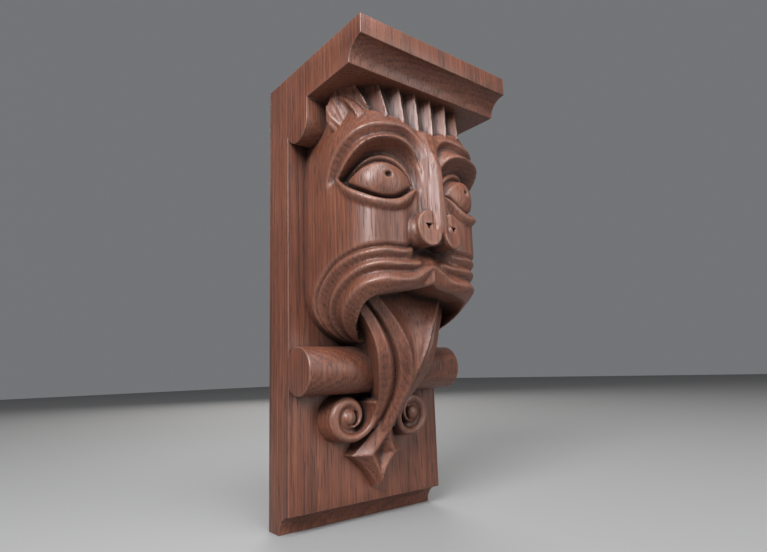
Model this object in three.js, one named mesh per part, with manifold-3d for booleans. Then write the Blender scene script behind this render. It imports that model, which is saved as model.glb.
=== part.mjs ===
// A wall corbel carved from one block of oak: a board with a moulded cap, and between them a grotesque
// head whose tongue hangs over a round bar, ends in a lozenge and throws off a scroll to either side.
// Lengths are millimetres. x runs across, y is 0 on the back face and falls towards the viewer, z is up.
// "out" is a distance forward of the back face and "height" is measured from the foot.

import * as THREE from "three";
import { mergeVertices } from "three/addons/utils/BufferGeometryUtils.js";
import Module from "manifold-3d";

// The block
const BLOCK = { width: 140, height: 335, board: 29, capDepth: 125 };
const CAP = { fillet: 14, cove: 14 };
const BED_ROLL = { radius: 15, stilt: 15, out: 42.5 };
const FOOT_COVE = 14;
const BAR = { radius: 17, out: 42, height: 111, sides: 20 };

// The head: a squared oval in plan, standing on an axis inside the board, rounded in at chin and crown
const HEAD = { halfWidth: 59, reach: 70, axis: 40, squareness: 4, unroll: 70 };
const HEAD_MESH = { sides: 32, levels: 18, crowding: 0.35, reachRound: 1.6, undercut: 0.93, chinFlat: 0.2 };
const CHIN = { height: 131, start: 175, roundness: 2.2 };
const CROWN = { height: 335, start: 215, roundness: 2.8 };
const FOREHEAD = { proud: 6.5, across: 50, height: 264, spreadAcross: 27, spreadUp: 17 };
const CHEEK_HOLLOW = { proud: -5, across: 16, height: 224, spreadAcross: 11, spreadUp: 24 };

// Face features lie on the unrolled head as [across, height]; the left side mirrors the right
const BROW_LINE = [[5, 250], [12, 265], [21, 272], [33, 271], [50, 266.5], [66, 255], [77, 240]];
const BROW_CUT = { upper: 7, lower: 5, depth: 4.5, lip: 0.3, steps: 16, above: 8 };
const EYE = { inner: [14, 235], outer: [66, 238], lidRise: 19, ballRise: 15.5, drop: 14.5, fullness: 0.85 };
const SOCKET = { rise: 28, depth: 7, points: 10, above: 3 };
const EYEBALL = { inset: 3, lift: 1, rings: 4, flatTop: 0.4, recess: 6.5, proud: 0.5, buried: 4 };
const PUPIL = { x: 36.7, out: 107.5, height: 238, radius: 2, depth: 3 };
const DRILL_SIDES = 8;
const UPPER_LID = { width: 4, top: -2, ease: 1, root: -11, steps: 10, points: 6 };
const LOWER_LID = { width: 9, crest: 3, shift: 0.3, fall: 2, root: -5, overlap: 4, lift: 1, taper: 0.2 };
const NOSE = [
  { height: 276, out: 104, bridge: 3, root: 5 },
  { height: 254, out: 111.5, bridge: 4, root: 9 },
  { height: 232, out: 113, bridge: 4.2, root: 10 },
  { height: 212, out: 116, bridge: 4.4, root: 12 },
  { height: 198, out: 120.5, bridge: 4.6, root: 14 },
];
const NOSE_ROOT = { out: 103, inside: 96, steps: 8 };
const LOBE = { x: 10, height: 203.5, halfWidth: 9.8, halfHeight: 12.6, splay: 0.16, segments: 8 };
const LOBE_DEPTH = { front: 119.5, back: 100 };
const WING = { x: 15.5, out: 104.5, height: 202, radius: 9.5 };
const BALL = { sides: 10, rings: 7 };
const NOSTRIL = { x: 11.3, height: 204.6, radius: 2, depth: 5 };
const UPPER_LIP = [[17, 186.5], [40, 186.7], [57, 184.2], [74, 179.2], [90, 169.5], [103, 154]];
const MIDDLE_LIP = [[11, 181], [29, 179.5], [45, 178.7], [59, 174.5], [75, 165], [90, 147]];
const LOWER_LIP = [[-2, 176], [9, 172], [20, 168], [39, 166.5], [52, 164], [63, 156.5], [75, 141]];
const LIPS = [
  { line: UPPER_LIP, halfWidth: 3.6, crest: 3 },
  { line: MIDDLE_LIP, halfWidth: 4.9, crest: 4 },
  { line: LOWER_LIP, halfWidth: 7.4, crest: 5 },
];
const LIP_BAND = { root: -6, steps: 12, taper: 0.16, haunch: 0.6, shoulder: 0.75 };
const BAND_END = 0.25;
const MOUTH = { halfWidth: 39, bow: 13, sill: 28, top: 160, cleft: 164, spring: 148, floor: 137 };
const MOUTH_DEPTH = { front: 130, inside: 64, segments: 7 };

// Hair, side locks and ears under the soffit
const HAIR = { pitch: 15, ridges: 6, ridgeOut: 106, ridgeFall: 4, valley: 8, foot: 262, inside: 80 };
const SIDE_LOCK = { foot: [46, 87, 276], tip: [50.5, 93, 310], across: 6, along: 6, rings: 4, ribs: 4 };
const EAR = { foot: [52, 74, 274], tip: [60, 79, 304], across: 8, along: 15, rings: 6, ribs: 6 };
const LEAF = { tip: 0.985, footSwell: 0.8, growth: 0.5, flute: 0.78 };

// The tongue: stations from the mouth to the neck, each half a section of the middle strand
const TONGUE = [
  { height: 166, rim: 31, rimOut: 80, edge: 38, edgeOut: 76, gutterOut: 76 },
  { height: 142, rim: 17, rimOut: 88, edge: 24.6, edgeOut: 84.4, gutterOut: 83.5 },
  { height: 118, rim: 4.5, rimOut: 88.5, edge: 12.5, edgeOut: 83.5, gutterOut: 86.5 },
  { height: 100, rim: 2, rimOut: 80.5, edge: 9, edgeOut: 75.5, gutterOut: 80 },
  { height: 78, rim: 2, rimOut: 64, edge: 8, edgeOut: 59, gutterOut: 63.5 },
  { height: 66, rim: 2, rimOut: 55, edge: 10, edgeOut: 51, gutterOut: 54 },
];
const TONGUE_STEPS = 15;
const SIDE_STRAND = [
  { height: 164, arris: 42, out: 72 },
  { height: 141, arris: 33.8, out: 74.2 },
  { height: 121, arris: 24.3, out: 72.5 },
  { height: 101, arris: 18.8, out: 67 },
  { height: 88, arris: 18.2, out: 58.5 },
  { height: 73, arris: 17.5, out: 43 },
];
const STRAND_FACE = 8;
const STRAND_LEAN = 1;
const STRAND_FLARE = 2;
const SCROLL = { x: 29.6, height: 77.4, startRadius: 14.8, endRadius: 5.6, start: 0.85, turns: 1.4 };
const SCROLL_BAND = { startWidth: 4.8, endWidth: 2.6, startOut: 56, out: 47, shoulder: 2, steps: 24 };
const SCROLL_EYE = { radius: 5.2, out: 45 };
const SCROLL_CORE = { radius: 8.6, sides: 16 };
const LOZENGE = { tip: 24.5, corner: 49.5, top: 84, halfWidth: 24, hollow: 0.16, points: 5, upright: 0.4 };
const LOZENGE_FRONT = { tipOut: 45, rise: 20, power: 2.2, startHeight: 32, span: 48 };
const LOZENGE_LEVELS = [[0, 1], [0.5, 0.97], [1, 0.68]];
const RECESS = { halfWidth: 9.5, bottom: 32, top: 64, middle: 47, depth: 6, above: 2, point: 0.02 };

// The carving is rooted this far into the board and the cap, and points closer than WELD are one point
const ROOT = { board: 7, cap: 1 };
const WELD = 1e-4;
const CURVE_SEGMENTS = 10;

const { lerp, clamp } = THREE.MathUtils;
const soffitHeight = BLOCK.height - CAP.fillet - CAP.cove;
const intoBoard = BLOCK.board - ROOT.board;
const intoCap = soffitHeight + ROOT.cap;
const wasm = await Module();
wasm.setup();

function place(x, out, height) {
  return new THREE.Vector3(x, -out, height);
}

// Signed volume of a triangle list, negative where the faces point inwards
function signedVolume(positions, triangles) {
  const corner = (i) => new THREE.Vector3().fromArray(positions, 3 * triangles[i]);
  let volume = 0;
  for (let i = 0; i < triangles.length; i += 3) {
    volume += corner(i).dot(corner(i + 1).cross(corner(i + 2))) / 6;
  }
  return volume;
}

// Turns a closed geometry into a solid that can be joined and cut
function solidOf(geometry) {
  geometry.deleteAttribute("normal");
  geometry.deleteAttribute("uv");
  const welded = mergeVertices(geometry, WELD);
  const vertProperties = new Float32Array(welded.attributes.position.array);
  const triVerts = new Uint32Array(welded.index.array);
  if (signedVolume(vertProperties, triVerts) < 0) {
    triVerts.reverse();
  }
  return new wasm.Manifold(new wasm.Mesh({ numProp: 3, vertProperties, triVerts }));
}

function joined(solids) {
  return solids.reduce((whole, next) => whole.add(next));
}

// Joins geometries to their reflections in the middle plane of the block
function bothSides(...geometries) {
  const reflections = geometries.map((geometry) => geometry.clone().scale(-1, 1, 1));
  return joined([...geometries, ...reflections].map(solidOf));
}

// A closed surface through rings of equal length, each end closed by a fan about its middle
function loft(rings) {
  const count = rings[0].length;
  const points = rings.flat();
  const indices = [];
  for (let ring = 0; ring + 1 < rings.length; ring += 1) {
    for (let i = 0; i < count; i += 1) {
      const [a, b] = [ring * count + i, ring * count + ((i + 1) % count)];
      indices.push(a, b, b + count, a, b + count, a + count);
    }
  }
  for (const end of [0, rings.length - 1]) {
    const middle = rings[end].reduce((sum, point) => sum.add(point), new THREE.Vector3());
    points.push(middle.divideScalar(count));
    for (let i = 0; i < count; i += 1) {
      const [a, b] = [end * count + i, end * count + ((i + 1) % count)];
      indices.push(points.length - 1, end === 0 ? b : a, end === 0 ? a : b);
    }
  }
  const geometry = new THREE.BufferGeometry().setFromPoints(points);
  geometry.setIndex(indices);
  return geometry;
}

// How far the plan of the head has drawn in at a height: 1 at the cheeks, 0 at chin and crown
function drawnIn(height) {
  const end = height < CHIN.start ? CHIN : CROWN;
  const share = clamp((height - end.start) / (end.height - end.start), 0, 1);
  const between = height >= CHIN.start && height <= CROWN.start;
  return between ? 1 : (1 - share ** end.roundness) ** (1 / end.roundness);
}

// A soft rise or hollow that both halves of the face share
function swelling(across, height, { proud, across: middle, height: level, spreadAcross, spreadUp }) {
  const sideways = (Math.abs(across) - middle) / spreadAcross;
  const upward = (height - level) / spreadUp;
  return proud * Math.exp(-(sideways ** 2) - upward ** 2);
}

// A point of the head, from its place on the unrolled face and how far it stands proud
function onFace(across, height, proud = 0) {
  const angle = across / HEAD.unroll;
  const side = Math.abs(Math.sin(angle)) / HEAD.halfWidth;
  const front = Math.abs(Math.cos(angle)) / HEAD.reach;
  const plan = (side ** HEAD.squareness + front ** HEAD.squareness) ** (-1 / HEAD.squareness);
  const modelling = swelling(across, height, FOREHEAD) + swelling(across, height, CHEEK_HOLLOW);
  const radius = plan * drawnIn(height) + modelling + proud;
  return place(radius * Math.sin(angle), HEAD.axis + radius * Math.cos(angle), height);
}

// A band of one section along a line on the face; the section lists [sideways, proud] points.
// A taper is the share of the length over which each end of the band sinks to its root.
function faceBand(line, section, steps, taper = 0) {
  const curve = new THREE.SplineCurve(line.map(([across, height]) => new THREE.Vector2(across, height)));
  const root = Math.min(...section.map(([, proud]) => proud));
  const rings = [];
  for (let step = 0; step <= steps; step += 1) {
    const share = step / steps;
    const at = curve.getPoint(share);
    const along = curve.getTangent(share);
    const full = taper > 0 ? Math.min(1, BAND_END + Math.min(share, 1 - share) / taper) : 1;
    rings.push(section.map(([side, proud]) => {
      const sideways = side * full;
      return onFace(at.x - along.y * sideways, at.y + along.x * sideways, lerp(root, proud, full));
    }));
  }
  return loft(rings);
}

// Board, cap and bed roll are one moulding profile run across the width, with the bar laid on the board
function makeBlock() {
  const { board, capDepth, height } = BLOCK;
  const profile = new THREE.Shape();
  const bedCentre = soffitHeight - BED_ROLL.stilt;
  const bedMeets = Math.acos((BED_ROLL.out - board) / BED_ROLL.radius);
  profile.moveTo(0, 0);
  profile.lineTo(board - FOOT_COVE, 0);
  profile.absarc(board, 0, FOOT_COVE, Math.PI, Math.PI / 2, true);
  profile.absarc(BED_ROLL.out, bedCentre, BED_ROLL.radius, Math.PI + bedMeets, 2 * Math.PI, false);
  profile.lineTo(BED_ROLL.out + BED_ROLL.radius, soffitHeight);
  profile.absarc(capDepth, soffitHeight, CAP.cove, Math.PI, Math.PI / 2, true);
  profile.lineTo(capDepth, height);
  profile.lineTo(0, height);
  const moulding = new THREE.ExtrudeGeometry(profile, {
    depth: BLOCK.width,
    bevelEnabled: false,
    curveSegments: CURVE_SEGMENTS,
  });
  moulding.translate(0, 0, -BLOCK.width / 2).rotateX(Math.PI / 2).rotateZ(-Math.PI / 2);
  const bar = new THREE.CylinderGeometry(BAR.radius, BAR.radius, BLOCK.width, BAR.sides);
  bar.rotateZ(Math.PI / 2).translate(0, -BAR.out, BAR.height);
  return solidOf(moulding).add(solidOf(bar));
}

function makeHeadCore() {
  const { sides, levels, crowding, reachRound, undercut, chinFlat } = HEAD_MESH;
  const span = reachRound * HEAD.unroll;
  const low = CHIN.height + chinFlat;
  const rings = [];
  for (let level = 0; level <= levels; level += 1) {
    const share = level / levels;
    const height = lerp(low, intoCap, lerp(share, share * share, crowding));
    const ring = [];
    for (let i = 0; i <= sides; i += 1) {
      ring.push(onFace(span * (2 * (i / sides) - 1), height));
    }
    const back = ring[sides].x * undercut;
    ring.push(place(back, intoBoard, height), place(-back, intoBoard, height));
    rings.push(ring);
  }
  return solidOf(loft(rings));
}

// Half of an almond on the face, from the inner to the outer corner, bowed by a rise
function almondArc(rise, inset, points) {
  const inner = EYE.inner[0] + inset;
  const outer = EYE.outer[0] - inset;
  const arc = [];
  for (let i = 0; i <= points; i += 1) {
    const share = i / points;
    const chord = lerp(EYE.inner[1], EYE.outer[1], share);
    const bow = Math.sin(Math.PI * share) ** EYE.fullness;
    arc.push([lerp(inner, outer, share), chord + rise * bow]);
  }
  return arc;
}

function almond(rise, drop, inset) {
  const upper = almondArc(rise, inset, SOCKET.points);
  const lower = almondArc(-drop, inset, SOCKET.points).slice(1, -1).reverse();
  return upper.concat(lower);
}

function makeSocketCut() {
  const raised = (outline, proud) => outline.map(([across, height]) => onFace(across, height, proud));
  const rim = raised(almond(SOCKET.rise, EYE.drop, 0), SOCKET.above);
  const floor = raised(almond(EYE.lidRise, EYE.drop, 1), -SOCKET.depth);
  return loft([rim, floor]);
}

// The ball is a dome whose foot follows the almond of the lids
function makeEyeball() {
  const outline = almond(EYE.ballRise, EYE.drop - EYEBALL.lift, EYEBALL.inset);
  const middle = [(EYE.inner[0] + EYE.outer[0]) / 2, (EYE.inner[1] + EYE.outer[1]) / 2];
  const shrunk = (size, proud) => outline.map(([across, height]) => {
    return onFace(lerp(middle[0], across, size), lerp(middle[1], height, size), proud);
  });
  const rings = [shrunk(1, -SOCKET.depth - EYEBALL.buried)];
  for (let ring = 0; ring < EYEBALL.rings; ring += 1) {
    const angle = (ring / (EYEBALL.rings - EYEBALL.flatTop)) * (Math.PI / 2);
    const proud = lerp(-EYEBALL.recess, EYEBALL.proud, Math.sin(angle));
    rings.push(shrunk(Math.cos(angle), proud));
  }
  return loft(rings);
}

function makeUpperLid() {
  const { width, top, ease, root, steps, points } = UPPER_LID;
  const half = width / 2;
  const section = [[-half, root], [-half, top - ease], [0, top], [half, top - ease], [half, root]];
  return faceBand(almondArc((EYE.lidRise + EYE.ballRise) / 2, 0, points), section, steps);
}

function makeLowerLid() {
  const { width, crest, shift, fall, root, overlap, lift, taper } = LOWER_LID;
  const half = width / 2;
  const section = [[-half, root], [-half, 0], [half * shift, crest], [half, crest - fall], [half, root]];
  const line = almondArc(lift - EYE.drop - half, -overlap, UPPER_LID.points);
  return faceBand(line, section, UPPER_LID.steps, taper);
}

// The brow is a V cut into the forehead, leaving a ridge between it and the eye
function makeBrowCut() {
  const { upper, lower, depth, lip, steps, above } = BROW_CUT;
  const section = [[0, -depth], [upper, lip], [upper, above], [-lower, above], [-lower, lip]];
  return faceBand(BROW_LINE, section, steps);
}

// A drilled hole that runs straight back from the front
function drill(x, out, height, radius, depth) {
  return new THREE.CylinderGeometry(radius, radius, depth * 2, DRILL_SIDES).translate(x, -out, height);
}

// The value of one named column at a share of the way along a list of stations
function alongStations(stations, name, share) {
  const points = stations.map((station) => new THREE.Vector2(station.height, station[name]));
  return new THREE.SplineCurve(points).getPoint(share).y;
}

function heightAlong(stations, share) {
  return alongStations(stations, "height", share);
}

// A half section, given from the middle outwards, closed by its reflection
function wholeSection(half) {
  return half.concat(half.map((point) => new THREE.Vector3(-point.x, point.y, point.z)).reverse());
}

function makeNose() {
  const rings = [];
  for (let step = 0; step <= NOSE_ROOT.steps; step += 1) {
    const share = step / NOSE_ROOT.steps;
    const height = heightAlong(NOSE, share);
    const root = alongStations(NOSE, "root", share);
    rings.push(wholeSection([
      place(alongStations(NOSE, "bridge", share), alongStations(NOSE, "out", share), height),
      place(root, NOSE_ROOT.out, height),
      place(root, NOSE_ROOT.inside, height),
    ]));
  }
  return solidOf(loft(rings));
}

// Two flat round lobes on the tip of the nose, each with a swelling behind it
function makeNoseTip() {
  const outline = new THREE.Shape();
  outline.absellipse(0, 0, LOBE.halfWidth, LOBE.halfHeight, 0, 2 * Math.PI);
  const disc = new THREE.ExtrudeGeometry(outline, {
    depth: LOBE_DEPTH.front - LOBE_DEPTH.back,
    bevelEnabled: false,
    curveSegments: LOBE.segments,
  });
  disc.rotateX(Math.PI / 2).rotateZ(LOBE.splay).translate(LOBE.x, -LOBE_DEPTH.back, LOBE.height);
  const wing = new THREE.SphereGeometry(WING.radius, BALL.sides, BALL.rings);
  wing.translate(WING.x, -WING.out, WING.height);
  return bothSides(disc, wing);
}

// Three rolls that sweep out from under the nose and fall past the corners of the mouth
function makeLips() {
  const { root, steps, taper, haunch, shoulder } = LIP_BAND;
  return bothSides(...LIPS.map(({ line, halfWidth, crest }) => {
    const rising = [[-halfWidth, root], [-halfWidth, 0], [-halfWidth * haunch, crest * shoulder]];
    const falling = rising.map(([side, proud]) => [-side, proud]).reverse();
    return faceBand(line, [...rising, [0, crest], ...falling], steps, taper);
  }));
}

function makeMouthCut() {
  const { halfWidth, bow, sill, top, cleft, spring, floor } = MOUTH;
  const arch = new THREE.Shape();
  arch.moveTo(-sill, floor);
  arch.lineTo(-halfWidth, spring);
  arch.quadraticCurveTo(-halfWidth, top, -bow, top);
  arch.lineTo(0, cleft);
  arch.lineTo(bow, top);
  arch.quadraticCurveTo(halfWidth, top, halfWidth, spring);
  arch.lineTo(sill, floor);
  const { front, inside, segments } = MOUTH_DEPTH;
  const cut = new THREE.ExtrudeGeometry(arch, {
    depth: front - inside,
    bevelEnabled: false,
    curveSegments: segments,
  });
  return solidOf(cut.rotateX(Math.PI / 2).translate(0, -inside, 0));
}

// A zig-zag fringe: upright ridges that die into the forehead
function makeHair() {
  const { pitch, ridges, ridgeOut, ridgeFall, valley, foot, inside } = HAIR;
  const half = (ridges / 2) * pitch;
  const fringe = new THREE.Shape();
  fringe.moveTo(-half, inside);
  for (let i = 0; i <= 2 * ridges; i += 1) {
    const x = -half + (i * pitch) / 2;
    const ridge = ridgeOut - ridgeFall * (x / half) ** 2;
    fringe.lineTo(x, i % 2 === 0 ? ridge - valley : ridge);
  }
  fringe.lineTo(half, inside);
  const hair = new THREE.ExtrudeGeometry(fringe, { depth: intoCap - foot, bevelEnabled: false });
  // The drawing has out upwards, so it is reflected to bring out to the front
  return solidOf(hair.scale(1, -1, 1).translate(0, 0, foot));
}

// A pointed leaf from a foot to a tip, with ribs and flutes down its sides
function makeLeaf({ foot, tip, across, along, rings, ribs }) {
  const [from, to] = [place(...foot), place(...tip)];
  const stack = [];
  for (let ring = 0; ring < rings; ring += 1) {
    const share = (ring / (rings - 1)) * LEAF.tip;
    const swell = Math.sqrt(1 - share ** 2) * (LEAF.footSwell + LEAF.growth * share);
    const middle = new THREE.Vector3().lerpVectors(from, to, share);
    const points = [];
    for (let i = 0; i < 2 * ribs; i += 1) {
      const angle = (i / ribs) * Math.PI;
      const reach = swell * (i % 2 === 0 ? 1 : LEAF.flute);
      const rim = new THREE.Vector3(across * Math.cos(angle), along * Math.sin(angle), 0);
      points.push(rim.multiplyScalar(reach).add(middle));
    }
    stack.push(points);
  }
  return loft(stack);
}

// The middle strand is hollowed between two rims and narrows to the neck
function makeTongue() {
  const rings = [];
  for (let step = 0; step <= TONGUE_STEPS; step += 1) {
    const share = step / TONGUE_STEPS;
    const height = heightAlong(TONGUE, share);
    const edge = alongStations(TONGUE, "edge", share);
    const section = wholeSection([
      place(alongStations(TONGUE, "rim", share), alongStations(TONGUE, "rimOut", share), height),
      place(edge, alongStations(TONGUE, "edgeOut", share), height),
      place(edge + STRAND_FLARE, intoBoard, height),
    ]);
    rings.push([place(0, alongStations(TONGUE, "gutterOut", share), height), ...section]);
  }
  return solidOf(loft(rings));
}

function makeSideStrand() {
  const rings = [];
  for (let step = 0; step <= TONGUE_STEPS; step += 1) {
    const share = step / TONGUE_STEPS;
    const height = heightAlong(SIDE_STRAND, share);
    const arris = alongStations(SIDE_STRAND, "arris", share);
    const out = alongStations(SIDE_STRAND, "out", share);
    rings.push([
      place(arris + 2 * STRAND_FLARE, intoBoard, height),
      place(arris, out, height),
      place(arris - STRAND_FACE, out + STRAND_LEAN, height),
      place(arris - STRAND_FACE - STRAND_FLARE, intoBoard, height),
    ]);
  }
  return loft(rings);
}

// Each side strand turns outwards below the bar and winds up to a button
function makeScroll() {
  const { x, height, startRadius, endRadius, start, turns } = SCROLL;
  const { startWidth, endWidth, startOut, out, shoulder, steps } = SCROLL_BAND;
  const rings = [];
  for (let step = 0; step <= steps; step += 1) {
    const share = step / steps;
    const angle = Math.PI * (start + 2 * turns * share);
    const radius = lerp(startRadius, endRadius, share);
    const width = lerp(startWidth, endWidth, share);
    const crest = lerp(out, startOut, Math.max(0, 1 - 4 * turns * share) ** 2);
    const section = [[-width, intoBoard], [-width, crest - shoulder], [0, crest], [width, crest - shoulder],
      [width, intoBoard]];
    rings.push(section.map(([sideways, outward]) => {
      const reach = radius + sideways;
      return place(x + reach * Math.cos(angle), outward, height + reach * Math.sin(angle));
    }));
  }
  const coreFront = out - 2 * shoulder;
  const core = new THREE.CylinderGeometry(
    SCROLL_CORE.radius, SCROLL_CORE.radius, coreFront - intoBoard, SCROLL_CORE.sides);
  core.translate(x, -(coreFront + intoBoard) / 2, height);
  const eye = new THREE.SphereGeometry(SCROLL_EYE.radius, BALL.sides, BALL.rings);
  eye.translate(x, -SCROLL_EYE.out, height);
  return bothSides(makeSideStrand(), loft(rings), core, eye);
}

// The front of the lozenge rises from its tip towards the neck
function lozengeFront(height) {
  const { tipOut, rise, power, startHeight, span } = LOZENGE_FRONT;
  return tipOut + rise * Math.max(0, (height - startHeight) / span) ** power;
}

// One side of the lozenge's outline, hollowed between two of its corners
function lozengeSide(from, to, size) {
  const side = [];
  for (let i = 0; i < LOZENGE.points; i += 1) {
    const share = i / LOZENGE.points;
    const pinch = size * (1 - LOZENGE.hollow * 4 * share * (1 - share));
    const drawn = lerp(size, 1, LOZENGE.upright);
    const height = lerp(LOZENGE.corner, lerp(from[1], to[1], share), drawn);
    side.push([lerp(from[0], to[0], share) * pinch, height]);
  }
  return side;
}

function lozengeOutline(size) {
  const { tip, corner, top, halfWidth } = LOZENGE;
  const corners = [[0, tip], [halfWidth, corner], [0, top], [-halfWidth, corner]];
  return corners.flatMap((from, i) => lozengeSide(from, corners[(i + 1) % corners.length], size));
}

function makeLozenge() {
  const rings = LOZENGE_LEVELS.map(([level, size]) => lozengeOutline(size).map(([x, height]) => {
    return place(x, lerp(intoBoard, lozengeFront(height), level), height);
  }));
  const { halfWidth, bottom, top, middle, depth, above, point } = RECESS;
  const corners = [[halfWidth, LOZENGE.corner], [0, top], [-halfWidth, LOZENGE.corner], [0, bottom]];
  const spread = 1 + above / depth;
  const mouth = corners.map(([x, height]) => {
    return place(x * spread, lozengeFront(height) + above, lerp(middle, height, spread));
  });
  const floorOut = lozengeFront(middle) - depth;
  const floor = corners.map(([x, height]) => place(x * point, floorOut, lerp(middle, height, point)));
  return solidOf(loft(rings)).subtract(solidOf(loft([mouth, floor])));
}

function makeCorbel() {
  const pupil = drill(PUPIL.x, PUPIL.out, PUPIL.height, PUPIL.radius, PUPIL.depth);
  const nostril = drill(NOSTRIL.x, LOBE_DEPTH.front, NOSTRIL.height, NOSTRIL.radius, NOSTRIL.depth);
  const blank = makeHeadCore().subtract(bothSides(makeBrowCut())).subtract(bothSides(makeSocketCut()));
  const eyes = bothSides(makeEyeball(), makeUpperLid(), makeLowerLid());
  const face = joined([blank, eyes, makeNose(), makeNoseTip(), makeLips()]);
  const openFace = face.subtract(bothSides(pupil, nostril)).subtract(makeMouthCut());
  const crest = makeHair().add(bothSides(makeLeaf(SIDE_LOCK), makeLeaf(EAR)));
  return joined([makeBlock(), openFace, crest, makeTongue(), makeScroll(), makeLozenge()]);
}

const carved = makeCorbel().getMesh();
const geometry = new THREE.BufferGeometry();
geometry.setAttribute("position", new THREE.BufferAttribute(carved.vertProperties, 3));
geometry.setIndex(new THREE.BufferAttribute(carved.triVerts, 1));
geometry.computeVertexNormals();

const oak = new THREE.MeshStandardMaterial({ color: 0x5d4030, roughness: 0.5, metalness: 0 });
const corbel = new THREE.Mesh(geometry, oak);
corbel.name = "corbel";
corbel.position.z = -BLOCK.height / 2;

const part = new THREE.Group();
part.add(corbel);

export default part;
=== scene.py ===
# %% [markdown]
# # A carved oak corbel
# This corbel is one block of oak: a board with a moulded cap, and between them a grotesque head whose
# tongue hangs over a round bar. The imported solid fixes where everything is. This script carves the same
# block again with the finer relief that a chisel leaves, and gives it its waxed oak finish.

# %% Load the frame
import math

import bmesh
import bpy
import numpy as np
from mathutils import Matrix, Vector


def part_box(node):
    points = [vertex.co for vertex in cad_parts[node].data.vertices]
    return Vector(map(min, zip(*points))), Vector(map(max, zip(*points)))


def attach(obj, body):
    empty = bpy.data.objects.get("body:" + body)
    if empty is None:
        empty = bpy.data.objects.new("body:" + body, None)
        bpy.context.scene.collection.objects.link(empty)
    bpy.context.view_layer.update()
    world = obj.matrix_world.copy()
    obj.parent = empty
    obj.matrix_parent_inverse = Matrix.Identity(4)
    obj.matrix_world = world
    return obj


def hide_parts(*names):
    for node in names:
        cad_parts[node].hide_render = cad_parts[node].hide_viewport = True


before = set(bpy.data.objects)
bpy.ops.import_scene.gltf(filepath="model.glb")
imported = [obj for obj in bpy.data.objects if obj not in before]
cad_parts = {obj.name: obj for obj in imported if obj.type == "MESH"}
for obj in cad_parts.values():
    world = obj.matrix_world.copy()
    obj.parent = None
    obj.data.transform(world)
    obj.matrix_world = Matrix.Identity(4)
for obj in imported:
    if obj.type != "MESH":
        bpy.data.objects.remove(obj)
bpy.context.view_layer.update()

BLOCK_LOW, BLOCK_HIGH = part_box("corbel")
MM = 0.001
WIDTH, DEPTH, HEIGHT = (round(side / MM, 3) for side in BLOCK_HIGH - BLOCK_LOW)
print(f"block {WIDTH:.0f} wide, {DEPTH:.0f} deep and {HEIGHT:.0f} high, in millimetres")

# %% [markdown]
# ## Working in the carver's units
# Sizes below are millimetres as a carver would mark them on the block: x across from the middle, out from
# the back face, and height from the foot. Only this helper turns them into the frame's metres.

# %% From the block to the frame
def in_frame(x, out, height):
    across = np.asarray(x, float) * MM
    forward = BLOCK_HIGH.y - np.asarray(out, float) * MM
    up = BLOCK_LOW.z + np.asarray(height, float) * MM
    return np.stack(np.broadcast_arrays(across, forward, up), axis=-1)


# %% [markdown]
# ## Flowing lines
# A carver draws the brow, the lids and the lips as flowing lines through a few marked places. A
# Catmull-Rom curve does the same: it passes through every marked point and stays smooth between them.

# %% Curves through marked places
CURVE_STEPS = 8


def flowing(points):
    marks = np.asarray(points, float)
    ends = np.concatenate([[2 * marks[0] - marks[1]], marks, [2 * marks[-1] - marks[-2]]])
    share = np.linspace(0, 1, CURVE_STEPS, endpoint=False)[:, None]
    spans = []
    for before, start, stop, after in zip(ends, ends[1:], ends[2:], ends[3:]):
        bend = 2 * before - 5 * start + 4 * stop - after
        twist = 3 * start - before - 3 * stop + after
        spans.append(start + 0.5 * share * ((stop - before) + share * (bend + share * twist)))
    return np.concatenate(spans + [marks[-1:]])


def along_height(stations, column):
    """One column of a list of stations as a smooth function of the height in its first column."""
    line = flowing(np.asarray(stations, float)[:, [0, column]])
    order = np.argsort(line[:, 0])
    return lambda height: np.interp(height, line[order, 0], line[order, 1])


# %% [markdown]
# A groove or a roll needs to know how far every place on the face lies from a line, on which side of it,
# and how far along. This walks the line's short straight pieces and keeps the nearest one.

# %% Distance from a line
def from_line(across, height, line):
    """Distance, positive on the left of the line, and share of the way along it."""
    steps = np.diff(line, axis=0)
    lengths = np.hypot(steps[:, 0], steps[:, 1])
    starts = np.concatenate([[0], np.cumsum(lengths)[:-1]])
    nearest = np.full(across.shape, np.inf)
    side = np.ones(across.shape)
    travelled = np.zeros(across.shape)
    for start, step, length, begin in zip(line, steps, lengths, starts):
        right, up = across - start[0], height - start[1]
        share = np.clip((right * step[0] + up * step[1]) / length**2, 0, 1)
        distance = np.hypot(right - share * step[0], up - share * step[1])
        closer = distance < nearest
        nearest = np.where(closer, distance, nearest)
        side = np.where(closer, np.sign(step[0] * up - step[1] * right), side)
        travelled = np.where(closer, begin + share * length, travelled)
    return nearest * side, travelled / lengths.sum()


# %% [markdown]
# Carved forms run softly into each other, so steps are eased and two solids can be blended. A front that
# slopes is nearer than the step straight out to it, so such a step is cut down by a share.

# %% Easing and soft joins
FRONT_SHARE = 0.8


def eased(value, low, high):
    share = np.clip((value - low) / (high - low), 0, 1)
    return share * share * (3 - 2 * share)


def softer_min(a, b, soft):
    blend = np.clip(0.5 + 0.5 * (b - a) / soft, 0, 1)
    return b + (a - b) * blend - soft * blend * (1 - blend)


def common(*solids):
    """The wood that all these solids share; a solid is below zero inside and above zero outside."""
    shared = solids[0]
    for solid in solids[1:]:
        shared = np.maximum(shared, solid)
    return shared


# %% [markdown]
# ## Relief drawn on a flat sheet
# Fine relief is easiest to draw flat, like a paper pattern that is wrapped round the head. Each pattern
# is worked out once on a grid, softened a little as a scraper does, and then read at any place by
# straight-line interpolation.

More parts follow.
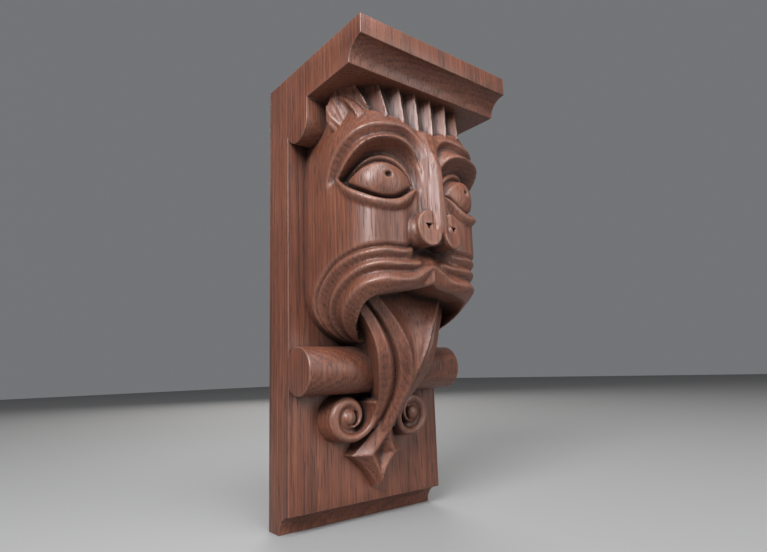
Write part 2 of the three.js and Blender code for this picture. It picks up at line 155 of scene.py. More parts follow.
# %% A relief pattern
def scraped(heights):
    """Each place becomes a weighted mean of itself and its eight neighbours."""
    wide = np.pad(heights, 1, mode="edge")
    upright = wide[:, :-2] + 2 * wide[:, 1:-1] + wide[:, 2:]
    return (upright[:-2] + 2 * upright[1:-1] + upright[2:]) / 16


# %% A pattern on its grid
class Pattern:
    PITCH = 0.4
    INSIDE_LAST = 1.001

    def __init__(self, low, high, draw, scrapings=2):
        self.low = np.asarray(low, float)
        self.counts = np.ceil((np.asarray(high, float) - self.low) / self.PITCH).astype(int) + 1
        across = self.low[0] + self.PITCH * np.arange(self.counts[0])
        up = self.low[1] + self.PITCH * np.arange(self.counts[1])
        self.heights = draw(*np.meshgrid(across, up, indexing="ij"))
        for _ in range(scrapings):
            self.heights = scraped(self.heights)

    def __call__(self, across, up):
        column = np.clip((across - self.low[0]) / self.PITCH, 0, self.counts[0] - self.INSIDE_LAST)
        row = np.clip((up - self.low[1]) / self.PITCH, 0, self.counts[1] - self.INSIDE_LAST)
        i, j = column.astype(int), row.astype(int)
        s, t = column - i, row - j
        near = self.heights[i, j] * (1 - t) + self.heights[i, j + 1] * t
        far = self.heights[i + 1, j] * (1 - t) + self.heights[i + 1, j + 1] * t
        return near * (1 - s) + far * s


# %% [markdown]
# ## The head
# In plan the head is a squared oval about an upright axis, drawn in round the chin and the crown. Places
# on it are given as on the paper pattern: across, measured along the surface from the middle, and height.
# It could be sculpted by hand, but a formula for the plan can be measured and changed by its numbers.

# %% The bare form of the head
HEAD_AXIS, HEAD_HALF_WIDTH, HEAD_REACH, SQUARENESS, UNROLL = 40, 59, 70, 4.4, 70
UNDERCUT = 0.23
CHIN = {"end": 127.5, "start": 175, "roundness": 2.5}
CROWN = {"end": 335, "start": 215, "roundness": 2.8}


def plan_radius(angle):
    side = np.abs(np.sin(angle)) / HEAD_HALF_WIDTH
    front = np.abs(np.cos(angle)) / HEAD_REACH
    return (side**SQUARENESS + front**SQUARENESS) ** (-1 / SQUARENESS)


def drawn_in(height):
    scale = np.ones_like(height)
    for end in (CHIN, CROWN):
        share = np.clip((height - end["start"]) / (end["end"] - end["start"]), 0, 1)
        scale *= (1 - share ** end["roundness"]) ** (1 / end["roundness"])
    return scale


print(f"head {2 * HEAD_HALF_WIDTH} mm wide before the face is carved")

# %% [markdown]
# ## Brow, eyes and lips on the pattern
# The brow is a V cut that leaves a ridge over the eye. Inside the ridge the socket falls to a dark line,
# then comes a thin upper lid, the swelling ball with its drilled pupil, and the rounded lower lid. They
# could be separate meshes, but they are cut into one face, so here they are levels on one pattern.

# %% Lines marked on the face
BROW = flowing([(7.6, 246), (9.3, 256), (13.5, 265), (21, 270.9), (33, 270), (50, 265), (65, 254), (75, 241),
                (77.5, 232)])
SOCKET_RIM = flowing([(9, 234), (10, 248), (13, 255.6), (18.5, 261), (27, 264.2), (36, 263.7), (44, 261),
                      (51, 256.5), (59, 248.8), (68, 239)])
LID_TOP = flowing([(12.8, 234), (15.3, 243.5), (20.8, 250.5), (28.5, 255), (37, 256.2), (45, 255),
                   (51.8, 251.7), (58.5, 246), (66, 239)])
BALL_TOP = flowing([(15.5, 235), (18.8, 241.3), (24.5, 246.5), (31, 249.7), (38, 250.8), (45, 250),
                    (52, 246.8), (58, 242.6), (64.5, 238)])
LID_ARRIS = flowing([(9, 234), (15, 232.6), (21, 228.8), (28, 224), (35.5, 222), (43.5, 223), (52, 227),
                     (60.5, 232.3), (68, 239)])
LID_FOOT = flowing([(12, 233), (17, 223.2), (23, 217.3), (30.5, 214), (37, 213.8), (44, 215.2), (52, 218.3),
                    (61, 224), (68, 231), (74, 239)])
NOSE_GROOVE = flowing([(12.3, 240), (11, 230), (10.7, 220), (12, 209)])
TINY = 1e-6
print(f"brow drawn from {BROW[0, 0]:.0f} to {BROW[-1, 0]:.0f} mm across the face")


def height_of(line, across):
    """Height of a line that runs outwards, at each place across; nothing lies beyond its ends."""
    return np.interp(across, line[:, 0], line[:, 1], left=np.nan, right=np.nan)


# %% The brow and its ridge
BROW_DEPTH, BROW_ABOVE, BROW_BELOW = 5.2, 5.4, 5.0
BROW_INNER_FADE, BROW_OUTER_FADE = 0.1, 0.12
BROW_ROLL, BROW_ROLL_WIDTH, BROW_ROLL_GAP = 1.0, 2.4, 1
RIM_RISE, RIM_REACH, RIM_STARTS = 2.2, 5.5, (0.1, 0.4)


def swelling(across, height, proud, centre, spread):
    sideways = (across - centre[0]) / spread[0]
    upward = (height - centre[1]) / spread[1]
    return proud * np.exp(-sideways**2 - upward**2)


def brow_relief(across, height):
    distance, along = from_line(across, height, BROW)
    ends = eased(along, 0, BROW_INNER_FADE) * eased(1 - along, 0, BROW_OUTER_FADE)
    reach = np.where(distance > 0, BROW_ABOVE, BROW_BELOW)
    cut = BROW_DEPTH * ends * np.clip(1 - np.abs(distance) / reach, 0, None)
    roll = BROW_ROLL * ends * np.exp(-(((distance - BROW_ABOVE - BROW_ROLL_GAP) / BROW_ROLL_WIDTH) ** 2))
    rim, along = from_line(across, height, SOCKET_RIM)
    ridge = RIM_RISE * eased(along, *RIM_STARTS) * (1 - eased(np.abs(rim), 0, RIM_REACH))
    return ridge + roll - cut


# %% The ball and its drilled pupil
EYE_MIDDLE, EYE_ENDS, EYE_RISES = (39.5, 236.5), (13.5, 66.5), (14.8, 15.0)
BALL_EDGE, BALL_CROWN, BALL_GROOVE, BALL_SHOULDER = -6.8, 1.4, 1.4, 3.4
PUPIL, PUPIL_RADIUS, PUPIL_DEPTH, PUPIL_EDGE = (35.2, 239.0), 1.75, 3.6, 0.4


def eyeball(across, height, gap):
    width = np.where(across < EYE_MIDDLE[0], EYE_MIDDLE[0] - EYE_ENDS[0], EYE_ENDS[1] - EYE_MIDDLE[0])
    rise = np.where(height > EYE_MIDDLE[1], *EYE_RISES)
    sideways, upward = (across - EYE_MIDDLE[0]) / width, (height - EYE_MIDDLE[1]) / rise
    dome = np.sqrt(np.clip(1 - sideways**2 - upward**2, 0, 1))
    edge = np.minimum(gap["ball"], gap["arris"])
    shoulder = eased(edge, 0, BALL_SHOULDER)
    ball = BALL_EDGE + (BALL_CROWN - BALL_EDGE) * dome * shoulder - BALL_GROOVE * (1 - shoulder)
    pupil = np.hypot(across - PUPIL[0], height - PUPIL[1])
    return ball - PUPIL_DEPTH * (1 - eased(pupil, PUPIL_RADIUS - PUPIL_EDGE, PUPIL_RADIUS + PUPIL_EDGE))


# %% The socket and the upper lid
SOCKET_DEPTH, SOCKET_HOLLOW = -8.2, 1.5
LID_HEIGHT, LID_ROUND, LID_SQUARENESS = -5.2, 3.0, 2.5


def upper_lid_and_ball(across, height, ground, gap):
    fall = gap["rim"] / (gap["rim"] + gap["top"] + TINY)
    sunk = 1 - (1 - fall) ** SOCKET_HOLLOW
    socket = ground * (1 - sunk) + SOCKET_DEPTH * sunk
    relief = np.where(height < height_of(SOCKET_RIM, across), socket, ground)
    lid_share = gap["top"] / (gap["top"] + gap["ball"] + TINY)
    lid = LID_HEIGHT - LID_ROUND * np.abs(2 * lid_share - 1) ** LID_SQUARENESS
    relief = np.where(height < height_of(LID_TOP, across), lid, relief)
    return np.where(height < height_of(BALL_TOP, across), eyeball(across, height, gap), relief)


# %% The lower lid and the whole eye
LOWER_LID_RISE, LOWER_LID_CREST, LOWER_LID_START = 3.6, 0.42, 0.35
LOWER_LID_FULL, LOWER_LID_FADE, LID_WALL = 20, (2, 14), 0.6


def lower_lid(across, height, gap):
    share = gap["arris"] / (gap["arris"] + gap["foot"] + TINY)
    climb = np.sin(np.clip(share / LOWER_LID_CREST, 0, 1) * np.pi / 2)
    rising = LOWER_LID_START + (1 - LOWER_LID_START) * climb
    falling = np.cos(np.clip((share - LOWER_LID_CREST) / (1 - LOWER_LID_CREST), 0, 1) * np.pi / 2)
    ends = eased(across, LID_FOOT[0, 0], LOWER_LID_FULL) * eased(LID_FOOT[-1, 0] - across, *LOWER_LID_FADE)
    rise = LOWER_LID_RISE * np.where(share < LOWER_LID_CREST, rising, falling) * ends
    return np.where(height > height_of(LID_FOOT, across), rise, 0)


def eye_relief(across, height, ground):
    lines = {"rim": SOCKET_RIM, "top": LID_TOP, "ball": BALL_TOP, "arris": LID_ARRIS, "foot": LID_FOOT}
    sides = {name: from_line(across, height, line)[0] for name, line in lines.items()}
    gap = {name: np.abs(side) for name, side in sides.items()}
    above = eased(sides["arris"], -LID_WALL, LID_WALL)
    below = ground + lower_lid(across, height, gap)
    return below + (upper_lid_and_ball(across, height, ground, gap) - below) * above


# %% [markdown]
# The lips are three lapped rolls cut into the face. They sweep out from under the nose and fall past the
# corners of the mouth. Each is lit on its upper slope and dark below its crest: a rounded ridge whose
# crest stays a little under the cheek, with a groove on each side.

# %% The lips
LIPS = (
    {"line": [(9, 195), (14.5, 192.4), (20, 188.8), (27, 187.4), (40, 187.2), (57, 184.6), (74, 179.2),
              (90, 169.5), (101, 157), (105, 142), (106, 126)],
     "above": 3.4, "below": 4.6, "crest": -0.2, "fall": 3.3, "starts": (9, 20)},
    {"line": [(-4, 182), (9, 181), (18, 179.5), (29, 178.8), (45, 178.2), (59, 173.8), (75, 164), (88, 150),
              (93, 138), (95, 124)],
     "above": 5.2, "below": 4.4, "crest": -0.9, "fall": 4.2, "starts": (1, 14)},
    {"line": [(-4, 179), (2, 178.3), (9, 174.3), (15.5, 170.5), (25, 168.4), (39, 167.9), (48.5, 166.2),
              (55, 163.6), (63, 157.6), (71, 149), (77, 136), (80, 122)],
     "above": 7.0, "below": 9.0, "crest": -0.6, "fall": 5.0, "starts": (-9, -8)},
)
CREST_ROUNDING, LIP_INNER_DROP, LIP_GROOVE_FLOOR = 0.8, 6.0, -5.0
PHILTRUM = {"crest": -1.2, "foot": 179, "side_slope": 0.38, "rise_slope": 0.2}
print(f"{len(LIPS)} rolls on each half of the lips")


# %% The level of the lips
def fall_from_crest(distance, above, below):
    """Nothing on the crest line, and one where the roll's slope ends on either side."""
    reach = np.where(distance > 0, above, below)
    slope = np.sqrt(distance**2 + CREST_ROUNDING**2) - CREST_ROUNDING
    foot = np.sqrt(reach**2 + CREST_ROUNDING**2) - CREST_ROUNDING
    return slope / foot


def lip_relief(across, height):
    """Level of the rolls under the cheek, and how far each place lies above the topmost roll."""
    level = np.full(across.shape, LIP_GROOVE_FLOOR)
    over_top = None
    for lip in LIPS:
        distance, _ = from_line(across, height, flowing(lip["line"]))
        over_top = distance - lip["above"] if over_top is None else over_top
        roll = lip["crest"] - lip["fall"] * fall_from_crest(distance, lip["above"], lip["below"])
        level = np.maximum(level, roll - LIP_INNER_DROP * (1 - eased(across, *lip["starts"])))
    over_foot = np.maximum(height - PHILTRUM["foot"], 0)
    ridge = PHILTRUM["crest"] - PHILTRUM["side_slope"] * np.abs(across) - PHILTRUM["rise_slope"] * over_foot
    return np.maximum(level, ridge), over_top


# %% The whole face as one pattern
FACE_LOW, FACE_HIGH = (0, 120), (114, 312)
FOREHEAD = {"proud": 6.5, "centre": (50, 263), "spread": (28, 20)}
CHEEK_HOLLOW = {"proud": -2.0, "centre": (17, 222), "spread": (8, 22)}
HAIRLINE = {"across": (7.3, 22, 36.7, 46), "height": (277, 282.5, 285, 287), "depth": 6, "step": 3,
            "end": 54, "fade": 8}
UNDER_NOSE = {"proud": -7.0, "centre": (0, 192), "spread": (17, 6)}
NOSE_GROOVE_DEPTH, NOSE_GROOVE_HALF, NOSE_GROOVE_FADES = 1.6, 2.6, (0.2, 0.5)
TOP_GROOVE_DEPTH, TOP_GROOVE_WIDTH, TOP_GROOVE_EDGE = 1.6, 2.2, 0.5


def draw_face(across, height):
    ground = sum(swelling(across, height, **form) for form in (FOREHEAD, CHEEK_HOLLOW, UNDER_NOSE))
    over_hairline = height - np.interp(across, HAIRLINE["across"], HAIRLINE["height"])
    step = HAIRLINE["depth"] * eased(over_hairline, 0, HAIRLINE["step"])
    ground -= step * eased(HAIRLINE["end"] - across, 0, HAIRLINE["fade"])
    groove, along = from_line(across, height, NOSE_GROOVE)
    starts, ends = NOSE_GROOVE_FADES
    depth = NOSE_GROOVE_DEPTH * eased(along, 0, starts) * eased(1 - along, 0, ends)
    ground -= depth * np.clip(1 - np.abs(groove) / NOSE_GROOVE_HALF, 0, None)
    relief = eye_relief(across, height, ground + brow_relief(across, height))
    level, over_top = lip_relief(across, height)
    relief -= TOP_GROOVE_DEPTH * np.clip(1 - np.abs(over_top) / TOP_GROOVE_WIDTH, 0, None)
    lips = np.minimum(ground, 0) + level
    return lips + (relief - lips) * eased(over_top, -TOP_GROOVE_EDGE, TOP_GROOVE_EDGE)


face = Pattern(FACE_LOW, FACE_HIGH, draw_face, scrapings=3)
print(f"face pattern: relief from {face.heights.min():.1f} to {face.heights.max():.1f} mm")


# %% The head as a solid
CHIN_FLAT = 0.2


def head_solid(x, out, height):
    forward = np.maximum(out - HEAD_AXIS, 0)
    angle = np.arctan2(x, forward)
    radius = np.hypot(x, forward) + UNDERCUT * np.maximum(HEAD_AXIS - out, 0)
    surface = plan_radius(angle) * drawn_in(height) + face(UNROLL * angle, height)
    return np.maximum(radius - surface, CHIN["end"] + CHIN_FLAT - height)


# %% [markdown]
# ## Nose
# The nose is a long ridge with a narrow front and a bevel down each side. It ends between two flat round
# lobes with a nostril cut in each, where the bevel runs out in a scoop, and a wing swells behind each. It
# overhangs the lip, which a flat pattern can't do, so it is built as solids of its own.

# %% The ridge of the nose
NOSE = [(190, 108, 2.0, 4.4), (196, 115, 2.2, 4.4), (200.5, 119.2, 2.4, 4.4), (206, 120.8, 2.4, 4.4),
        (217, 120.5, 2.0, 4.8), (233, 119.6, 1.7, 4.8), (246, 118.8, 1.8, 3.6), (255, 116.4, 2.0, 3.0),
        (264, 112.2, 2.4, 3.0), (273, 107.8, 3, 3), (282, 103, 3, 3)]
NOSE_OUT, NOSE_FRONT, NOSE_BEVEL = (along_height(NOSE, column) for column in (1, 2, 3))
NOSE_SIDE_SLOPE, NOSE_FOOT, NOSE_TOP, NOSE_BACK = 1.9, 194, 280, 94
NOSE_BLEND, NOSE_ROOT_BLEND, NOSE_ROOT = 1.2, 7.0, (246, 266)
print(f"nose from {NOSE_FOOT} to {NOSE_TOP} mm above the foot")


def nose_solid(x, out, height):
    bevel = NOSE_BEVEL(height)
    beside = x - NOSE_FRONT(height)
    front = NOSE_OUT(height) - np.clip(beside, 0, bevel) - NOSE_SIDE_SLOPE * np.maximum(beside - bevel, 0)
    ridge = (out - front) / math.hypot(1, NOSE_SIDE_SLOPE)
    return common(ridge, NOSE_FOOT - height, height - NOSE_TOP, NOSE_BACK - out)


# %% Lobes and wings
LOBE = {"x": 10.5, "height": 203.4, "half_width": 9.7, "half_height": 12.5, "back": 98}
LOBE_OUT, LOBE_SPLAY, LOBE_TILT, LOBE_ROUNDING = 119.9, 0.14, 0.06, 0.7
SCOOP = {"x": 6.2, "out": 116.3, "end": 201.5, "length": 5, "inner": 1.0, "outer": 0.85,
         "rise": 3, "lengths": 2}
WING = {"x": 14, "out": 106, "height": 202.4, "radii": (9.2, 11, 10.8)}


def lobe_solid(x, out, height):
    front = LOBE_OUT - LOBE_SPLAY * x - LOBE_TILT * (height - LOBE["height"])
    beside = x - SCOOP["x"]
    scoop = SCOOP["out"] + np.where(beside < 0, -SCOOP["inner"] * beside, SCOOP["outer"] * beside)
    run_out = np.clip((SCOOP["end"] + SCOOP["length"] - height) / SCOOP["length"], 0, SCOOP["lengths"])
    front = np.minimum(front, scoop + SCOOP["rise"] * run_out**2)
    reach = np.hypot((x - LOBE["x"]) / LOBE["half_width"], (height - LOBE["height"]) / LOBE["half_height"])
    disc = -softer_min((1 - reach) * LOBE["half_width"], (front - out) * FRONT_SHARE, LOBE_ROUNDING)
    wing_reach = np.sqrt(((x - WING["x"]) / WING["radii"][0]) ** 2
                         + ((out - WING["out"]) / WING["radii"][1]) ** 2
                         + ((height - WING["height"]) / WING["radii"][2]) ** 2)
    return np.minimum(np.maximum(disc, LOBE["back"] - out), (wing_reach - 1) * WING["radii"][0])


# %% The nostrils
NOSTRIL = {"x": 11.6, "top": 206.3, "half_width": 2.6, "length": 4.2, "floor": 113}


def nostril_hole(x, out, height):
    share = (NOSTRIL["top"] - height) / NOSTRIL["length"]
    sides = np.abs(x - NOSTRIL["x"]) - NOSTRIL["half_width"] * (1 - share)
    return common(sides * FRONT_SHARE, height - NOSTRIL["top"], NOSTRIL["floor"] - out)


# %% [markdown]
# ## Hair and ears
# The fringe is cut with a V tool: upright ridges that fan out a little and die into the forehead. Beyond
# them stands one larger lock, and then a pointed ear like a ribbed leaf, flat against the head. Hair
# curves would be too fine for carved wood, so fringe, lock and ear are solids with ridged fronts.

# %% The fringe
SOFFIT = 307
FRINGE = {"pitch": 14.7, "half_width": 44.1, "valley": 7.5, "face": 0.75, "end": 262}
FRINGE_ACROSS, FRINGE_OUT = (7.3, 22, 36.7, 44), (105.2, 105.2, 101, 96)
FRINGE_LEAN = (0.07, 0.09, 0.22, 0.25)
FRINGE_ENDS, FRINGE_FEET, FRINGE_RUN_OUT = (7.3, 22, 36.7), (274, 280, 283), 1.4
FAN, FAN_MIDDLE = 0.004, 300
print(f"{2 * FRINGE['half_width'] / FRINGE['pitch']:.0f} ridges in the fringe")


def fringe_solid(x, out, height):
    flat = x / (1 + FAN * (height - FAN_MIDDLE))
    from_ridge = np.abs(np.mod(flat, FRINGE["pitch"]) - FRINGE["pitch"] / 2) / (FRINGE["pitch"] / 2)
    crest = np.interp(flat, FRINGE_ACROSS, FRINGE_OUT)
    crest = crest + np.interp(flat, FRINGE_ACROSS, FRINGE_LEAN) * (SOFFIT - height)
    crest = crest - FRINGE_RUN_OUT * np.maximum(np.interp(flat, FRINGE_ENDS, FRINGE_FEET) - height, 0)
    valley = FRINGE["valley"] * np.clip(from_ridge / FRINGE["face"], 0, 1)
    steepness = np.hypot(1, 2 * FRINGE["valley"] / FRINGE["face"] / FRINGE["pitch"])
    ridges = (out - crest + valley) / steepness
    return common(ridges, flat - FRINGE["half_width"], FRINGE["end"] - height)


# %% The side lock
LOCK = [(278, 39, 92), (287, 42.8, 96.5), (294, 46, 96.3), (309, 50.8, 89.8)]
LOCK_X, LOCK_OUT = along_height(LOCK, 1), along_height(LOCK, 2)
LOCK_INNER_SLOPE, LOCK_OUTER_SLOPE, LOCK_HALF_WIDTH, LOCK_BACK = 1.0, 2.2, 9, 74


def lock_solid(x, out, height):
    offset = x - LOCK_X(height)
    slope = np.where(offset > 0, LOCK_OUTER_SLOPE, LOCK_INNER_SLOPE)
    blade = (out - LOCK_OUT(height) + slope * np.abs(offset)) / np.hypot(1, slope)
    return common(blade, np.abs(offset) - LOCK_HALF_WIDTH, LOCK[0][0] - height, LOCK_BACK - out)


# %% The ear as a leaf pattern
EAR_SPINE = flowing([(71.8, 306), (73.8, 301.2), (76.6, 295.9), (79.4, 288.8), (82.2, 282), (85, 273)])
EAR_FRONT_RIB = flowing([(74, 306), (76.5, 303.9), (83.6, 297.4), (90.1, 289.2), (93, 283), (95, 275)])
EAR_BACK_RIB = flowing([(70, 296.5), (72.1, 291), (76.1, 284.5), (79.5, 279), (82, 274)])
EAR_FOOT_RIB = flowing([(72.5, 282), (74, 278.4), (77, 273)])
EAR_RIBS = ((EAR_SPINE, 1.4, 2.4), (EAR_FRONT_RIB, 2.4, 3.4), (EAR_BACK_RIB, 1.3, 2.4),
            (EAR_FOOT_RIB, 0.7, 2.2))
EAR_FLARE, EAR_FLARE_STARTS = 0.62, (271, 287)
EAR_HOLLOW = {"depth": 1.6, "middle": 5, "spread": 3.4}
EAR_LOW, EAR_HIGH = (55, 262), (110, 312)


def draw_ear(out, height):
    from_spine, _ = from_line(out, height, EAR_SPINE)
    hollow = np.exp(-(((from_spine - EAR_HOLLOW["middle"]) / EAR_HOLLOW["spread"]) ** 2))
    ribs = np.zeros(out.shape)
    for line, rise, half_width in EAR_RIBS:
        distance, _ = from_line(out, height, line)
        ribs = np.maximum(ribs, rise * (1 - np.abs(distance) / half_width))
    flare = EAR_FLARE * np.maximum(-from_spine, 0) * eased(height, *EAR_FLARE_STARTS)
    return ribs + flare - EAR_HOLLOW["depth"] * hollow


ear_relief = Pattern(EAR_LOW, EAR_HIGH, draw_ear, scrapings=1)
print(f"ear pattern: relief up to {ear_relief.heights.max():.1f} mm")

# %% The ear as a solid
EAR_OUTLINE = flowing([(97, 272), (97.5, 281), (93, 290.5), (86.5, 298), (79.5, 304), (73.5, 307),
                       (70.2, 302.5), (69.8, 292), (71, 281.5), (73, 274), (74.5, 266)])
EAR_X, EAR_TURN, EAR_LEAN, EAR_MIDDLE = 57.4, 0.30, 0.06, (68, 285)
EAR_EDGE_FALL, EAR_EDGE_WIDTH, EAR_INSIDE, EAR_FOOT, EAR_SHARE = 0.3, 3, 40, 266, 0.75


def draw_ear_outline(out, height):
    distance, _ = from_line(out, height, EAR_OUTLINE)
    return -distance


ear_edge = Pattern(EAR_LOW, EAR_HIGH, draw_ear_outline)


def ear_solid(x, out, height):
    edge = ear_edge(out, height)
    plane = EAR_X - EAR_TURN * (out - EAR_MIDDLE[0]) + EAR_LEAN * (height - EAR_MIDDLE[1])
    surface = plane + ear_relief(out, height)
    surface -= EAR_EDGE_FALL * np.clip(edge + EAR_EDGE_WIDTH, 0, None)
    return common((x - surface) * EAR_SHARE, edge, EAR_INSIDE - x, EAR_FOOT - height)


# %% [markdown]
# ## Mouth and tongue
# The mouth is cut straight back under the lower roll. Out of it hangs the tongue in three strands: a
# hollow middle one between two rims, and a flat-faced strand to each side. A curve with a bevel would
# make round strands, so each has its section listed at a few heights and smoothed between them.

# %% The mouth
MOUTH_EDGE = flowing([(0, 167), (6, 165), (12, 163.6), (22, 162), (33, 160), (41, 158.4), (45, 155),
                      (45.2, 150.5), (43, 145), (39, 140), (33, 135.5), (26, 130.5), (18, 119)])
MOUTH_INSIDE, MOUTH_ROUNDING = 56, 3.0


def draw_mouth(x, height):
    distance, _ = from_line(x, height, MOUTH_EDGE)
    return distance


MOUTH_LOW, MOUTH_HIGH = (0, 118), (62, 176)
mouth_outline = Pattern(MOUTH_LOW, MOUTH_HIGH, draw_mouth)
print(f"mouth cut back to {MOUTH_INSIDE} mm from the back face")


def mouth_hole(x, out, height):
    return np.maximum(mouth_outline(x, height), MOUTH_INSIDE - out)


# %% The middle strand of the tongue
TONGUE = [(60, 1, 49, 6, 45, 48.7), (68, 1, 55, 5, 50.5, 54.7), (78, 1, 62.8, 4.2, 57.3, 62.5),
          (87, 1, 70, 4.2, 64.5, 69.7), (94.5, 1, 76.3, 4.8, 70.5, 76), (106, 1.8, 83.5, 7.7, 77.5, 83),
          (116.5, 5, 88, 11.7, 82, 85.3), (126.7, 9.3, 89.8, 15.8, 83.8, 85.7),
          (137, 14.2, 88.8, 20.2, 82.8, 84.3), (145.8, 19.5, 87, 25.3, 81, 82),
          (156, 26, 83.5, 32.5, 78, 78.5), (168, 34, 78, 40.5, 73, 73.5)]
RIM, RIM_OUT, EDGE, EDGE_OUT, GUTTER_OUT = (along_height(TONGUE, column) for column in range(1, 6))
TONGUE_FLARE, GUTTER_SQUARENESS = 0.02, 2.2
TONGUE_FOOT, TONGUE_HEAD = 60, 166
print(f"tongue {TONGUE_HEAD - TONGUE_FOOT} mm long")


def tongue_solid(x, out, height):
    rim, rim_out, edge = RIM(height), RIM_OUT(height), EDGE(height)
    edge_out, gutter_out = EDGE_OUT(height), GUTTER_OUT(height)
    hollow = gutter_out + (rim_out - gutter_out) * np.clip(x / rim, 0, 1) ** GUTTER_SQUARENESS
    outer = rim_out + (edge_out - rim_out) * (x - rim) / (edge - rim)
    front = np.where(x < rim, hollow, outer)
    side = x - edge - TONGUE_FLARE * (edge_out - out)
    return common((out - front) * FRONT_SHARE, side, TONGUE_FOOT - height, height - TONGUE_HEAD)


# %% The side strands
STRAND = [(68, 16, 44, 9, 46, 5, 44.5), (78, 14, 52, 8.6, 54, 3.8, 52.5),
          (87, 13.8, 58.5, 9.6, 61.2, 3.4, 59.8), (94.7, 17, 64.5, 11, 67.2, 4.2, 65.5),
          (106, 22, 71.5, 13.4, 74.2, 7.2, 72.3), (117, 25.8, 76, 17.4, 78.7, 10.7, 76.8),
          (127.4, 29.1, 77.8, 21.6, 80.5, 15.3, 78.6), (137.7, 32.6, 76.8, 25.5, 79.5, 19.6, 77.6),
          (146.5, 37.2, 75, 29.4, 77.7, 24.6, 75.8), (154, 41.2, 72.5, 33.4, 75.2, 29.3, 73.3),
          (166, 46.5, 68, 39, 71, 35.5, 69)]
ARRIS, ARRIS_OUT, INNER, INNER_OUT, SLOT, SLOT_OUT = (along_height(STRAND, column) for column in range(1, 7))
STRAND_UNDERCUT, STRAND_UNDERCUT_DEPTH, STRAND_SHARE = 0.35, 22, 0.9


def strand_solid(x, out, height):
    arris, arris_out = ARRIS(height), ARRIS_OUT(height)
    inner, inner_out = INNER(height), INNER_OUT(height)
    face_front = arris_out + (inner_out - arris_out) * (arris - x) / (arris - inner)
    bevel_front = inner_out + (SLOT_OUT(height) - inner_out) * (inner - x) / (inner - SLOT(height))
    front = np.minimum(face_front, np.maximum(bevel_front, SLOT_OUT(height)))
    outer = x - arris + STRAND_UNDERCUT * np.clip(arris_out - out, 0, STRAND_UNDERCUT_DEPTH)
    return common(outer, (out - front) * STRAND_SHARE, STRAND[0][0] - height, height - TONGUE_HEAD)


# %% [markdown]
# ## Scrolls and lozenge
# Below the bar each side strand curls outwards into a scroll that winds round a button. The middle
# strand ends in a lozenge with hollow sides, bevelled edges and a sunk four-sided pyramid. A spiral
# curve would give one round section, so the scroll's radius, width and front vary with its turn.

# %% The winding of the scroll
SCROLL_X, SCROLL_HEIGHT, SCROLL_OUT = 29.6, 77.4, 46
SCROLL_TURN = np.pi * np.array([0.8, 1.0, 1.25, 1.5, 2.0, 2.5, 2.8, 3.0, 3.25, 3.5])
SCROLL_INNER = [17.5, 15.2, 13.2, 11.2, 8.0, 6.9, 6.6, 6.4, 6.3, 6.3]
SCROLL_OUTER = [24, 22, 19.3, 17.2, 16, 14.5, 12.8, 11.4, 9.2, 6.8]
SCROLL_CLIMB, SCROLL_CLIMB_TURN = 11, 0.75 * np.pi
SCROLL_ARCH, SCROLL_ARCH_POWER, SCROLL_SINK = 2.6, 2.4, 1.4


def scroll_turn(x, height):
    reach = np.hypot(x - SCROLL_X, height - SCROLL_HEIGHT)
    angle = np.arctan2(height - SCROLL_HEIGHT, x - SCROLL_X)
    return reach, np.mod(angle - SCROLL_TURN[0], 2 * np.pi) + SCROLL_TURN[0]


def coil(reach, turn):
    inner, outer = (np.interp(turn, SCROLL_TURN, radii) for radii in (SCROLL_INNER, SCROLL_OUTER))
    share = np.clip((reach - inner) / (outer - inner), 0, 1)
    climb = SCROLL_CLIMB * np.clip(1 - (turn - SCROLL_TURN[0]) / SCROLL_CLIMB_TURN, 0, 1) ** 2
    band = SCROLL_OUT + climb - SCROLL_SINK + SCROLL_ARCH * (1 - np.abs(2 * share - 1) ** SCROLL_ARCH_POWER)
    return np.where((share > 0) & (share < 1), band, 0)


# %% The scroll on its pattern
SCROLL_GROOVE, SCROLL_GAP, SCROLL_GAP_TURNS = 2.4, 14, (1.0 * np.pi, 1.4 * np.pi)
BUTTON, BUTTON_RISE, BUTTON_SINK = 5.7, 4.2, 2.0
SCROLL_LOW, SCROLL_HIGH = (4, 50), (58, 106)


def draw_scroll(x, height):
    reach, turn = scroll_turn(x, height)
    gap = SCROLL_GROOVE + SCROLL_GAP * (1 - eased(turn, *SCROLL_GAP_TURNS))
    front = np.maximum(np.maximum(coil(reach, turn), coil(reach, turn + 2 * np.pi)), SCROLL_OUT - gap)
    button = BUTTON_RISE * np.sqrt(np.clip(1 - (reach / BUTTON) ** 2, 0, 1))
    return np.where(reach < BUTTON, SCROLL_OUT - BUTTON_SINK + button, front)


def draw_scroll_edge(x, height):
    reach, turn = scroll_turn(x, height)
    return reach - np.interp(turn, SCROLL_TURN, SCROLL_OUTER)


scroll_front = Pattern(SCROLL_LOW, SCROLL_HIGH, draw_scroll, scrapings=4)
scroll_edge = Pattern(SCROLL_LOW, SCROLL_HIGH, draw_scroll_edge)
print(f"scroll: {(SCROLL_TURN[-1] - SCROLL_TURN[0]) / (2 * np.pi):.1f} turns round its button")

# %% The scroll as a solid
SCROLL_DRAFT, SCROLL_DRAFT_DEPTH, SCROLL_REACH = 0.1, 24, 24


def scroll_solid(x, out, height):
    front = scroll_front(x, height)
    wall = scroll_edge(x, height) - SCROLL_DRAFT * np.clip(front - out, 0, SCROLL_DRAFT_DEPTH)
    ends = np.abs(height - SCROLL_HEIGHT) - SCROLL_REACH
    return common(wall, (out - front) * FRONT_SHARE, ends, SCROLL_LOW[0] - x)


